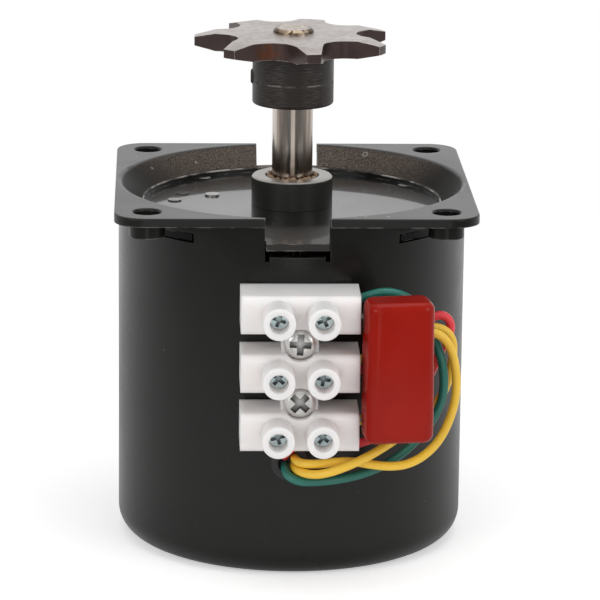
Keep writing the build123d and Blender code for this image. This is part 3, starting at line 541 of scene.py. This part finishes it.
# %% [markdown]
# Handled edges are rubbed, and pits are given painted shade. Both could be painted by hand on every solid,
# but the renderer can find them: an edge is where a rounded normal leaves the true one, and a pit is where
# the piece blocks most of its own view.

# %% Rubbed edges and painted pit shade


def build_rubbed_edges():
    """Mask of edges: where a rounded normal leaves the true one, broken up by noise."""
    tree, inside, outside = new_group("rubbed_edges", {"Width": 0.4 * mm, "Breakup": 400.0}, ["Mask"])
    rounded = put(tree, "ShaderNodeBevel", {"Radius": inside["Width"]}, samples=bevel_samples).outputs[0]
    normals = {0: rounded, 1: put(tree, "ShaderNodeNewGeometry").outputs["Normal"]}
    same = put(tree, "ShaderNodeVectorMath", normals, operation="DOT_PRODUCT").outputs["Value"]
    breaks = noise(tree, object_point(tree), inside["Breakup"], 4.0)
    mask = times(tree, remap(tree, same, 0.995, 0.86), remap(tree, breaks, 0.42, 0.6))
    tree.links.new(mask, outside["Mask"])


def build_pit_shade():
    """Mask of painted shade in pits and recesses: where the piece itself blocks most of the view within the
    reach.
    """
    tree, inside, outside = new_group("painted_pit_shade", {"Reach": 0.8 * mm}, ["Mask"])
    reach = {"Distance": inside["Reach"]}
    sky = put(tree, "ShaderNodeAmbientOcclusion", reach, samples=6, only_local=True).outputs["AO"]
    tree.links.new(remap(tree, sky, 0.85, 0.45), outside["Mask"])


build_rubbed_edges()
build_pit_shade()
print("shared effects:", [group.name for group in bpy.data.node_groups])

# %% [markdown]
# ## Painted steel
# The can is satin black. A single dark colour would look like plastic, so clouds move its colour and its
# gloss, dust lies on it and its edges are a little rubbed.

# %% Can paint
dust = (0.2, 0.19, 0.17)
rubbed_steel = (0.4, 0.39, 0.37)
paint_edge = 0.3 * mm


def can_finish():
    """Black paint: clouds move colour and roughness, specks are pale dust, rubbed edges show grey."""
    material, tree, principled = new_finish("can_paint", Specular_IOR_Level=0.33)
    skin = use_group(tree, "paint_skin", Speck_Size=0.04)
    edges = use_group(tree, "rubbed_edges", Width=paint_edge)
    base = mix_colour(tree, skin["Cloud"], (0.0036, 0.0036, 0.0028), (0.0054, 0.0054, 0.0042))
    dusty = mix_colour(tree, times(tree, skin["Specks"], 0.35), base, dust)
    surface_colour = mix_colour(tree, times(tree, edges["Mask"], 0.12), dusty, rubbed_steel)
    dress(tree, principled, surface_colour, spread(tree, skin["Cloud"], 0.25, 0.32), skin["Height"], 0.002 * mm)
    return material


can_paint = can_finish()
print("can paint ready")

# %% [markdown]
# The gear plate under the boss is glossy enough on top to mirror what stands behind it, but its cut edges
# and the tongue in front of the boss stay dull. A second material would need the solid split, so the
# finish reads which way a face looks and where it lies.

# %% Plate paint
tongue_depth = (-14 * mm, -22 * mm)
tongue_sides = (-6 * mm, 6 * mm)


def plate_finish():
    """A clear gloss on faces that look up, less of it on the tongue, and rubbed edges."""
    material, tree, principled = new_finish("plate_paint", Specular_IOR_Level=0.12, Coat_Roughness=0.04)
    skin = use_group(tree, "paint_skin", Speck_Size=0.07)
    edges = use_group(tree, "rubbed_edges", Width=paint_edge)
    across, deep, _ = split(tree, object_point(tree))
    tongue = times(tree, remap(tree, deep, *tongue_depth), band(tree, across, *tongue_sides, mm))
    gloss = times(tree, math_node(tree, "SUBTRACT", 1.0, times(tree, tongue, 0.75)), 0.75)
    tree.links.new(times(tree, facing_up(tree), gloss), principled.inputs["Coat Weight"])
    black = mix_colour(tree, skin["Cloud"], (0.006, 0.0057, 0.0053), (0.009, 0.0086, 0.008))
    base = mix_colour(tree, times(tree, tongue, 0.6), black, (0.05, 0.047, 0.044))
    dusty = mix_colour(tree, times(tree, skin["Specks"], 0.35), base, dust)
    surface_colour = mix_colour(tree, times(tree, edges["Mask"], 0.5), dusty, rubbed_steel)
    dull = math_node(tree, "ADD", spread(tree, skin["Cloud"], 0.18, 0.28), times(tree, tongue, 0.2))
    dress(tree, principled, surface_colour, dull, skin["Height"], 0.0015 * mm)
    return material


plate_paint = plate_finish()
print("plate paint ready")

# %% [markdown]
# ## Flange
# The flange is one pressing. Its flat rim kept a smooth black skin, but where the press drew it down into
# a funnel the paint is grainy, and the funnel's back wall is painted a lighter brown than its sides as
# painted light. The funnel's lower edge is rubbed to bare metal in broken stretches. Two materials would
# meet in a hard line, so one finish reads the distance from the shaft and the height instead.

# %% Flange finish
funnel_radii = (25.9, 29.8)
below_rim = (62.6, 62.2)
lip_radii = (25.5, 25.84)
lip_levels = (59.05, 59.3)
lit_back_depth = (8 * mm, 22 * mm)
chip_place = tuple(np.array([14.0, 25.0, 61.75]) * mm)
chip_ring = (0.3 * mm, 0.55 * mm)


def funnel_masks(tree):
    """Funnel: between its radii and below the rim. Lip: a thin ring at its foot, in broken stretches."""
    place = use_group(tree, "shaft_axis")
    drawn = band(tree, place["Radius"], *funnel_radii, 0.15)
    funnel = times(tree, drawn, remap(tree, place["Level"], *below_rim))
    foot = band(tree, place["Radius"], *lip_radii, 0.05)
    lip = times(tree, foot, band(tree, place["Level"], *lip_levels, 0.05))
    broken = remap(tree, noise(tree, object_point(tree), 210.0, 6.0), 0.44, 0.62)
    return funnel, times(tree, lip, broken)


def flange_finish():
    """A coated black rim, a grainy funnel with painted light that makes it brown at the back, and bare
    metal where it is rubbed.
    """
    material, tree, principled = new_finish("flange_paint", Specular_IOR_Level=0.03, Coat_Roughness=0.22)
    skin = use_group(tree, "paint_skin", Speck_Size=0.08)
    edges = use_group(tree, "rubbed_edges", Width=paint_edge)
    point = object_point(tree)
    funnel, scuffed = funnel_masks(tree)
    shine = spread(tree, facing_up(tree), 0.4, 0.62)
    flat = math_node(tree, "SUBTRACT", 1.0, funnel)
    tree.links.new(times(tree, flat, shine), principled.inputs["Coat Weight"])
    grains = remap(tree, noise(tree, point, 4600.0, 2.0), 0.33, 0.68)
    brown = mix_colour(tree, grains, (0.04, 0.033, 0.028), (0.165, 0.135, 0.114))
    # Painted light: the funnel's back wall, which faces the lamps, is painted lighter brown than its dark
    # sides.
    behind = remap(tree, split(tree, point)[1], *lit_back_depth)
    grainy = mix_colour(tree, behind, (0.011, 0.0095, 0.0085), brown)
    rim = mix_colour(tree, skin["Cloud"], (0.008, 0.0078, 0.0072), (0.014, 0.0135, 0.0125))
    coat = mix_colour(tree, funnel, rim, grainy)
    chip = times(tree, band(tree, distance_to(tree, chip_place), *chip_ring, 0.08 * mm), 0.7)
    pale = either(tree, chip, times(tree, skin["Specks"], 0.6))
    dusty = mix_colour(tree, pale, coat, (0.35, 0.33, 0.3))
    bare = either(tree, scuffed, times(tree, edges["Mask"], 0.3))
    surface_colour = mix_colour(tree, bare, dusty, (0.55, 0.52, 0.48))
    rough = times(tree, times(tree, grains, funnel), 3.0)
    relief = math_node(tree, "ADD", skin["Height"], rough)
    dress(tree, principled, surface_colour, spread(tree, skin["Cloud"], 0.3, 0.42), relief, 0.004 * mm)
    return material


flange_paint = flange_finish()
print("flange finish ready")

# %% [markdown]
# ## Boss and shaft
# The boss was painted with the plate and then faced, so its side is glossy black and its top is bare, and
# oil has stained it round the shaft. Faces could be given a material each, but the stain fades, so the
# finish follows height and radius.

# %% Boss finish
faced_levels = (63.2, 63.32)
oily_radii = (4.9, 4.6)


def boss_finish():
    """Bare steel above the faced level, black paint below it, and oily brown near the shaft."""
    material, tree, principled = new_finish("boss_steel", Specular_IOR_Level=0.4)
    skin = use_group(tree, "paint_skin", Speck_Size=0.05)
    ring = use_group(tree, "tool_rings", Rings=16.0)
    place = use_group(tree, "shaft_axis")
    bare = remap(tree, place["Level"], *faced_levels)
    oily = remap(tree, place["Radius"], *oily_radii)
    steel = mix_colour(tree, ring["Shade"], (0.5, 0.48, 0.455), (0.3, 0.285, 0.265))
    faced = mix_colour(tree, bare, (0.016, 0.0168, 0.0142), steel)
    stained = mix_colour(tree, times(tree, oily, 0.9), faced, (0.05, 0.03, 0.02))
    tree.links.new(times(tree, bare, 0.9), principled.inputs["Metallic"])
    gloss = spread(tree, skin["Cloud"], 0.32, 0.44)
    dress(tree, principled, stained, gloss, ring["Height"], 0.002 * mm, 0.15 * mm)
    return material


boss_steel = boss_finish()
print("boss finish ready")

# %% [markdown]
# The shaft is drawn bar: fine streaks run along it, oil has browned its foot, and the end above the
# sprocket is chipped. An anisotropic shader gives streaks too, but stretched noise also shows the single
# scratches that a close look finds.

# %% Shaft finish
streak_stretch = 30
foot_levels = (70.0, 63.5)
stub_levels = (88.45, 88.6)
stub_flanks = (2.1 * mm, 2.9 * mm)


def drawn_steel(name, light, dark, oil):
    """Noise stretched along the axis gives streaks; oil browns the foot, and the top end is chipped."""
    material, tree, principled = new_finish(name, Metallic=1.0)
    point = object_point(tree)
    level = use_group(tree, "shaft_axis")["Level"]
    stretched = {"Vector": point, "Scale": (1.0, 1.0, 1 / streak_stretch)}
    streak = noise(tree, put(tree, "ShaderNodeMapping", stretched).outputs[0], 1100.0, 4.0)
    grime = noise(tree, point, 1300.0, 3.0)
    metal = mix_colour(tree, remap(tree, streak, 0.35, 0.65), light, dark)
    foot = times(tree, remap(tree, level, *foot_levels), remap(tree, grime, 0.25, 0.6, 0.4, 1.0))
    oiled = mix_colour(tree, times(tree, foot, 0.75), metal, oil)
    stub = remap(tree, level, *stub_levels)
    gilded = mix_colour(tree, times(tree, stub, 0.7), oiled, (0.36, 0.27, 0.17))
    flank = remap(tree, math_node(tree, "ABSOLUTE", split(tree, point)[0]), *stub_flanks)
    chips = times(tree, stub, either(tree, flank, remap(tree, grime, 0.54, 0.62)))
    chipped = mix_colour(tree, times(tree, chips, 0.9), gilded, (0.05, 0.032, 0.02))
    dress(tree, principled, chipped, remap(tree, streak, 0.3, 0.7, 0.15, 0.26), grime, 0.004 * mm)
    return material


shaft_steel = drawn_steel("shaft_steel", (0.58, 0.52, 0.47), (0.34, 0.28, 0.24), (0.17, 0.1, 0.055))
print("shaft finish ready")

# %% [markdown]
# ## Sprocket and hub
# The sprocket is blackened steel with a purple-brown cast. Its up-facing faces are painted pale as painted
# light from above, one tooth gap has rusted, and the tips are rubbed. A plain dark paint would hide the
# room that it mirrors, so it stays partly metallic.

# %% Sprocket finish
rust_place = tuple(np.array([-4.6, -10.6, 86.9]) * mm)
rust_reach = (3.2 * mm, 0.6 * mm)
steel_edge = 0.25 * mm


def sprocket_finish():
    """Painted light turns up-facing faces pale; rust fades out within its reach of one place in a tooth
    gap.
    """
    material, tree, principled = new_finish("sprocket_steel", Metallic=0.7)
    skin = use_group(tree, "paint_skin", Peel_Scale=1500.0, Speck_Size=0.12)
    edges = use_group(tree, "rubbed_edges", Width=steel_edge, Breakup=700.0)
    blotch = remap(tree, noise(tree, object_point(tree), 700.0, 4.0), 0.35, 0.65)
    side = mix_colour(tree, skin["Cloud"], (0.058, 0.042, 0.04), (0.08, 0.05, 0.046))
    near = remap(tree, distance_to(tree, rust_place), *rust_reach)
    rust = times(tree, near, either(tree, blotch, 0.2))
    rusty = mix_colour(tree, rust, side, (0.12, 0.042, 0.018))
    # Painted light: faces that look up are painted pale, in blotches.
    painted_top_light = times(tree, facing_up(tree), spread(tree, blotch, 0.95, 0.75))
    top_lit_colour = mix_colour(tree, painted_top_light, rusty, (0.52, 0.475, 0.455))
    surface_colour = mix_colour(tree, times(tree, edges["Mask"], 0.8), top_lit_colour, (0.5, 0.45, 0.43))
    dress(tree, principled, surface_colour, spread(tree, skin["Cloud"], 0.3, 0.45), skin["Height"], 0.01 * mm)
    return material


sprocket_steel = sprocket_finish()
print("sprocket finish ready")

# %% [markdown]
# The hub is darker, with turning marks and light scuffs that also carry a painted sheen on its sides, and a
# tool line that gets a painted glint on two stretches. The line could be cut into the solid, but it is only
# a change of shine, so the finish draws it at one level.

# %% Hub finish
tool_line_rise = 3.9
tool_line_width = 0.2
glint_sides = (2.3 * mm, 4.5 * mm)
scuff_sheen_sides = (1.6 * mm, 5.4 * mm)
scratch_stretch = 14.0


def hub_finish(name, line_level):
    """Turning rings darken and roughen the side; the tool line at one level gets a painted glint on two
    stretches.
    """
    material, tree, principled = new_finish(name, Metallic=0.55)
    skin = use_group(tree, "paint_skin", Peel_Scale=1500.0, Speck_Size=0.05)
    ring = use_group(tree, "tool_rings", Rings=13.0, Wander=9.0)
    edges = use_group(tree, "rubbed_edges", Width=steel_edge, Breakup=700.0)
    level = use_group(tree, "shaft_axis")["Level"]
    point = object_point(tree)
    sideways = math_node(tree, "ABSOLUTE", split(tree, point)[0])
    line = band(tree, level, line_level, line_level + tool_line_width, 0.04)
    # Painted glint: the tool line is painted bright only on two stretches at the sides, where highlights
    # fall.
    bright = times(tree, times(tree, line, band(tree, sideways, *glint_sides, 0.15 * mm)), 0.5)
    dark = mix_colour(tree, ring["Shade"], (0.016, 0.0142, 0.013), (0.034, 0.03, 0.027))
    brown = mix_colour(tree, times(tree, skin["Cloud"], 0.3), dark, (0.05, 0.034, 0.028))
    squeezed = {"Vector": point, "Scale": (1.0, 1.0, scratch_stretch)}
    scratches = noise(tree, put(tree, "ShaderNodeMapping", squeezed).outputs[0], 620.0, 5.0)
    # Real scratches plus painted sheen: they are lighter only in bands at the sides, where highlights fall.
    sheen_sides = band(tree, sideways, *scuff_sheen_sides, 0.9 * mm)
    scuffs_and_sheen = times(tree, times(tree, remap(tree, scratches, 0.44, 0.7), sheen_sides), 0.1)
    # This mask holds the painted glint and sheen as well as the rubbed edges.
    rubbed = either(tree, either(tree, bright, scuffs_and_sheen), times(tree, edges["Mask"], 0.25))
    surface_colour = mix_colour(tree, rubbed, brown, (0.5, 0.48, 0.46))
    dress(tree, principled, surface_colour, spread(tree, skin["Cloud"], 0.34, 0.5), ring["Height"], 0.006 * mm)
    return material


tool_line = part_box("sprocket_hub")[0][2] / mm + tool_line_rise
hub_steel = hub_finish("hub_steel", tool_line)
print("tool line at", round(tool_line, 2), "mm")

# %% [markdown]
# ## Small metal parts
# Screws are zinc plated, barrels and bushes are brass, windings are copper and the plates inside are bare
# steel. Each could have a finish of its own, but all are turned, rolled or wound, so one finish with rings
# and a cloudy stain serves them with different values.

# %% Turned and plated metals


def turned_metal(name, light, dark, roughness, rings, depth, stain, stain_share,
                 metallic=1.0, pit_reach=0.8 * mm):
    """Tool rings shade it from light to dark, clouds of stain lie over it, and its pits get painted shade.
    """
    material, tree, principled = new_finish(name, Metallic=metallic)
    ring = use_group(tree, "tool_rings", Rings=rings)
    skin = use_group(tree, "paint_skin", Speck_Size=0.0)
    metal = mix_colour(tree, ring["Shade"], light, dark)
    stained = mix_colour(tree, times(tree, skin["Cloud"], stain_share), metal, stain)
    # Painted shade: pits and recesses that the piece hides from the light are darkened.
    pits = times(tree, use_group(tree, "painted_pit_shade", Reach=pit_reach)["Mask"], 0.75)
    pit_shaded = mix_colour(tree, pits, stained, (0.035, 0.034, 0.033))
    gloss = spread(tree, skin["Cloud"], roughness, roughness + 0.18)
    dress(tree, principled, pit_shaded, gloss, ring["Height"], depth)
    return material


clamp_zinc = turned_metal("clamp_zinc", (0.82, 0.95, 0.96), (0.66, 0.83, 0.86), 0.28, 16.0, 0.012 * mm,
                          (0.4, 0.5, 0.52), 0.3, 0.6)
fixing_zinc = turned_metal("fixing_zinc", (0.82, 0.82, 0.8), (0.66, 0.66, 0.64), 0.2, 16.0, 0.003 * mm,
                           (0.45, 0.44, 0.42), 0.25, 0.8, 1.8 * mm)
inner_steel = turned_metal("inner_steel", (0.6, 0.59, 0.58), (0.45, 0.44, 0.43), 0.35, 9.0, 0.003 * mm,
                           (0.25, 0.22, 0.18), 0.25)
brass = turned_metal("brass", (0.72, 0.55, 0.24), (0.55, 0.4, 0.16), 0.28, 15.0, 0.003 * mm,
                     (0.3, 0.2, 0.08), 0.25)
copper = turned_metal("copper", (0.75, 0.36, 0.18), (0.5, 0.2, 0.09), 0.35, 22.0, 0.03 * mm,
                      (0.3, 0.1, 0.04), 0.3)
tinned = turned_metal("tinned", (0.75, 0.75, 0.74), (0.6, 0.6, 0.6), 0.25, 8.0, 0.002 * mm,
                      (0.4, 0.4, 0.4), 0.2)
print("small metals ready")

# %% [markdown]
# ## Mouldings and coatings
# The strip is white nylon that lets a little light in, and the leads are soft PVC. The gears, bobbins,
# magnet and grommet inside get plain mouldings of their own. One finish serves them all, because they
# differ in colour, gloss and grain and not in kind.

# %% Plastics


def moulding(name, colour, shade, roughness, depth, soft_edge=0.0, **shader):
    """Moulded plastic: slow clouds from colour to shade, a fine skin, a few specks and a soft gloss."""
    material, tree, principled = new_finish(name, **shader)
    skin = use_group(tree, "paint_skin", Peel_Scale=1200.0, Speck_Size=0.04)
    base = mix_colour(tree, skin["Cloud"], colour, shade)
    specked = mix_colour(tree, times(tree, skin["Specks"], 0.2), base, (0.25, 0.22, 0.2))
    gloss = spread(tree, skin["Cloud"], roughness, roughness + 0.12)
    dress(tree, principled, specked, gloss, skin["Height"], depth, soft_edge)
    return material


white_nylon = moulding("white_nylon", (0.9, 0.865, 0.85), (0.87, 0.83, 0.815), 0.36, 0.004 * mm, 0.35 * mm,
                       Subsurface_Weight=1.0, Subsurface_Scale=2.5 * mm,
                       Subsurface_Radius=(1.0, 0.92, 0.88))
green_pvc = moulding("green_pvc", (0.018, 0.17, 0.132), (0.013, 0.13, 0.102), 0.28, 0.004 * mm)
yellow_pvc = moulding("yellow_pvc", (0.98, 0.63, 0.06), (0.9, 0.55, 0.045), 0.28, 0.004 * mm)
red_pvc = moulding("red_pvc", (0.92, 0.06, 0.075), (0.82, 0.045, 0.06), 0.25, 0.004 * mm)
gear_nylon = moulding("gear_nylon", (0.8, 0.78, 0.72), (0.72, 0.7, 0.63), 0.4, 0.006 * mm)
bobbin_plastic = moulding("bobbin_plastic", (0.75, 0.74, 0.7), (0.66, 0.65, 0.6), 0.45, 0.008 * mm)
ferrite = moulding("ferrite", (0.06, 0.06, 0.065), (0.04, 0.04, 0.042), 0.55, 0.012 * mm)
rubber = moulding("rubber", (0.018, 0.018, 0.018), (0.028, 0.027, 0.026), 0.6, 0.015 * mm)
dried_grease = moulding("dried_grease", (0.42, 0.27, 0.14), (0.1, 0.055, 0.03), 0.2, 0.03 * mm)
print("plastics ready")

# %% [markdown]
# The capacitor's resin is deep red and glossy in front, but dull on its left side. Two materials would
# meet in a hard line, so one finish lets its clear coat follow the way that the surface faces.

# %% Dipped resin


def dipped_resin(name, colour, shade):
    """Thick red resin; its clear coat is full on most faces and fades on those turned left."""
    material, tree, principled = new_finish(name, Specular_IOR_Level=0.05, Coat_Roughness=0.05,
                                            Specular_Tint=(1.0, 0.45, 0.3, 1.0))
    skin = use_group(tree, "paint_skin", Peel_Scale=700.0, Speck_Size=0.04)
    shine = remap(tree, outward(tree)[0], -0.8, -0.3, 0.02, 0.22)
    tree.links.new(shine, principled.inputs["Coat Weight"])
    base = mix_colour(tree, skin["Cloud"], colour, shade)
    dress(tree, principled, base, spread(tree, skin["Cloud"], 0.14, 0.26), skin["Height"], 0.012 * mm)
    return material


red_dip = dipped_resin("red_dip", (0.335, 0.013, 0.0075), (0.27, 0.01, 0.006))
print("resin ready")

# %% [markdown]
# ## Finishes on the solids
# A solid whose shape is right keeps its mesh and only gets a finish in its material slots. Each could be
# set where its finish is made, but one table shows at a glance that none is left out.

# %% Assign finishes
finish_of = {
    "motor_can": can_paint, "mounting_flange": flange_paint, "gear_plate": plate_paint,
    "output_bush": boss_steel, "output_shaft": shaft_steel, "retaining_ring": hub_steel,
    "thrust_washer": inner_steel, "sprocket_plate": sprocket_steel, "sprocket_hub": hub_steel,
    "hub_set_screw": hub_steel, "output_gear": inner_steel, "second_gear": brass, "first_gear": gear_nylon,
    "rotor_pinion": brass, "gear_pins": inner_steel, "gear_spacers": brass, "plate_pillars": inner_steel,
    "motor_plate": inner_steel, "lower_pole_plate": inner_steel, "middle_pole_plate": inner_steel,
    "upper_pole_plate": inner_steel, "lower_bobbin": bobbin_plastic, "upper_bobbin": bobbin_plastic,
    "lower_winding": copper, "upper_winding": copper, "lower_bush": brass, "upper_bush": brass,
    "rotor_shaft": inner_steel, "rotor_magnet": ferrite, "rotor_hub": gear_nylon,
    "terminal_body": white_nylon, "terminal_barrels": brass, "clamp_screws": clamp_zinc,
    "fixing_screws": fixing_zinc, "capacitor_body": red_dip, "capacitor_leads": tinned,
    "lead_grommet": rubber, "green_lead": green_pvc, "outer_yellow_lead": yellow_pvc,
    "inner_yellow_lead": yellow_pvc, "red_lead": red_pvc,
}


def wear(piece, material):
    """Puts one finish on a piece, in place of whatever it had."""
    piece.data.materials.clear()
    piece.data.materials.append(material)


for name, material in finish_of.items():
    wear(nodes[name], material)
for colour, lead in leads.items():
    wear(lead, finish_of[colour + "_lead"])
wear(capacitor_dip, red_dip)
wear(grease, dried_grease)
print("finished", len(finish_of), "solids and", len(leads) + 2, "new pieces")

# %% [markdown]
# ## Stage and light
# The motor stands on a plain pale floor that runs into a white background. A very large floor would show
# its horizon, so this one fades out, and a little glow where it is seen tops it up to white and keeps the
# shadow.

# %% Floor
floor_level = -0.02 * mm
floor_margin = 1.1
floor_full = 0.13
floor_gone = 0.26
floor_glow = 0.45


def seen_rays(tree):
    """One for rays from the lens or through something clear, and one for those that come by a mirror."""
    rays = put(tree, "ShaderNodeLightPath").outputs
    return either(tree, rays["Is Camera Ray"], rays["Is Transmission Ray"]), rays["Is Glossy Ray"]


def pale_floor(full, gone, glow):
    """A square just under the base that fades out between two radii, with a glow where it is seen."""
    square = gone * floor_margin * np.array([(-1, -1), (1, -1), (1, 1), (-1, 1)])
    corners = np.column_stack([square, np.full(4, floor_level)])
    mesh = bpy.data.meshes.new("floor")
    mesh.from_pydata(corners.tolist(), [], [(0, 1, 2, 3)])
    floor = bpy.data.objects.new("floor", mesh)
    scene.collection.objects.link(floor)
    material, tree, principled = new_finish("floor_paper", Base_Color=(0.9, 0.9, 0.9, 1.0), Roughness=0.9,
                                            Specular_IOR_Level=0.0, Emission_Color=(1.0, 1.0, 1.0, 1.0))
    clear, mirrored = seen_rays(tree)
    seen = either(tree, clear, times(tree, mirrored, 0.3))
    tree.links.new(times(tree, seen, glow), principled.inputs["Emission Strength"])
    radius = times(tree, use_group(tree, "shaft_axis")["Radius"], mm)
    tree.links.new(remap(tree, radius, full, gone, 1.0, 0.0), principled.inputs["Alpha"])
    wear(floor, material)
    return floor


floor = pale_floor(floor_full, floor_gone, floor_glow)
print("floor is", round(floor.dimensions.x, 3), "m wide")

# %% [markdown]
# The room is white behind the motor and darker by the camera, which is why black paint is darkest in the
# middle of the can and pale at its sides. Lamps alone could do that, but a world that reflections see by
# direction is smoother and needs no extra lamps.

# %% World
room_turn = (-0.85, 0.6)
panel_turn = (-0.975, -0.993)
room_grey = 0.45


def white_world(ambient):
    """White to the lens; mirrors see white behind, dark and one pale panel in front; the rest see grey."""
    world = bpy.data.worlds.new("studio")
    scene.world = world
    world.use_nodes = True
    tree = world.node_tree
    clear, mirrored = seen_rays(tree)
    x, y, _ = split(tree, put(tree, "ShaderNodeTexCoord").outputs["Generated"])
    level = math_node(tree, "SQRT", math_node(tree, "ADD", times(tree, x, x), times(tree, y, y)))
    forward = math_node(tree, "DIVIDE", y, either(tree, level, 0.05))
    room = remap(tree, forward, *room_turn, 0.16, 1.0)
    panel = remap(tree, forward, *panel_turn, 0.0, 0.85)
    shown = times(tree, mirrored, math_node(tree, "ADD", room, panel))
    other = times(tree, math_node(tree, "SUBTRACT", 1.0, mirrored), ambient)
    strength = either(tree, clear, math_node(tree, "ADD", shown, other))
    background = tree.nodes["Background"]
    background.inputs["Color"].default_value = (1.0, 1.0, 1.0, 1.0)
    tree.links.new(strength, background.inputs["Strength"])


white_world(room_grey)
print("world ready")

# %% [markdown]
# The light is that of a small studio: a soft lamp above and one on each side in front. A single lamp
# would leave one side of the can without its long highlight.

# %% Lamps
middle = (0.0, 0.0, 0.045)


def soft_lamp(name, place, target, width, height, watts):
    """A rectangular lamp at place, facing target, that the lens doesn't see."""
    light = bpy.data.lights.new(name, "AREA")
    light.shape = "RECTANGLE"
    light.size = width
    light.size_y = height
    light.energy = watts
    lamp = bpy.data.objects.new(name, light)
    scene.collection.objects.link(lamp)
    back = np.array(place) - np.array(target)
    back = back / np.linalg.norm(back)
    side = np.cross((0.0, 0.0, 1.0), back)
    side = side / np.linalg.norm(side)
    matrix = np.eye(4)
    matrix[:3, :3] = np.stack([side, np.cross(back, side), back], axis=1)
    matrix[:3, 3] = place
    lamp.matrix_world = matrix.T.tolist()
    lamp.visible_camera = False


soft_lamp("top_lamp", (0.05, -0.1, 0.6), middle, 0.5, 0.4, 0.95)
soft_lamp("left_lamp", (-0.42, -0.5, 0.25), middle, 0.4, 0.4, 1.4)
soft_lamp("right_lamp", (0.45, -0.45, 0.25), middle, 0.4, 0.4, 1.15)
scene.view_settings.view_transform = "Standard"
print("lamps:", [light.name for light in bpy.data.lights])

# %% [markdown]
# ## Finish
# The last cell brings the scene up to date.

# %% Bring the scene up to date
bpy.context.view_layer.update()
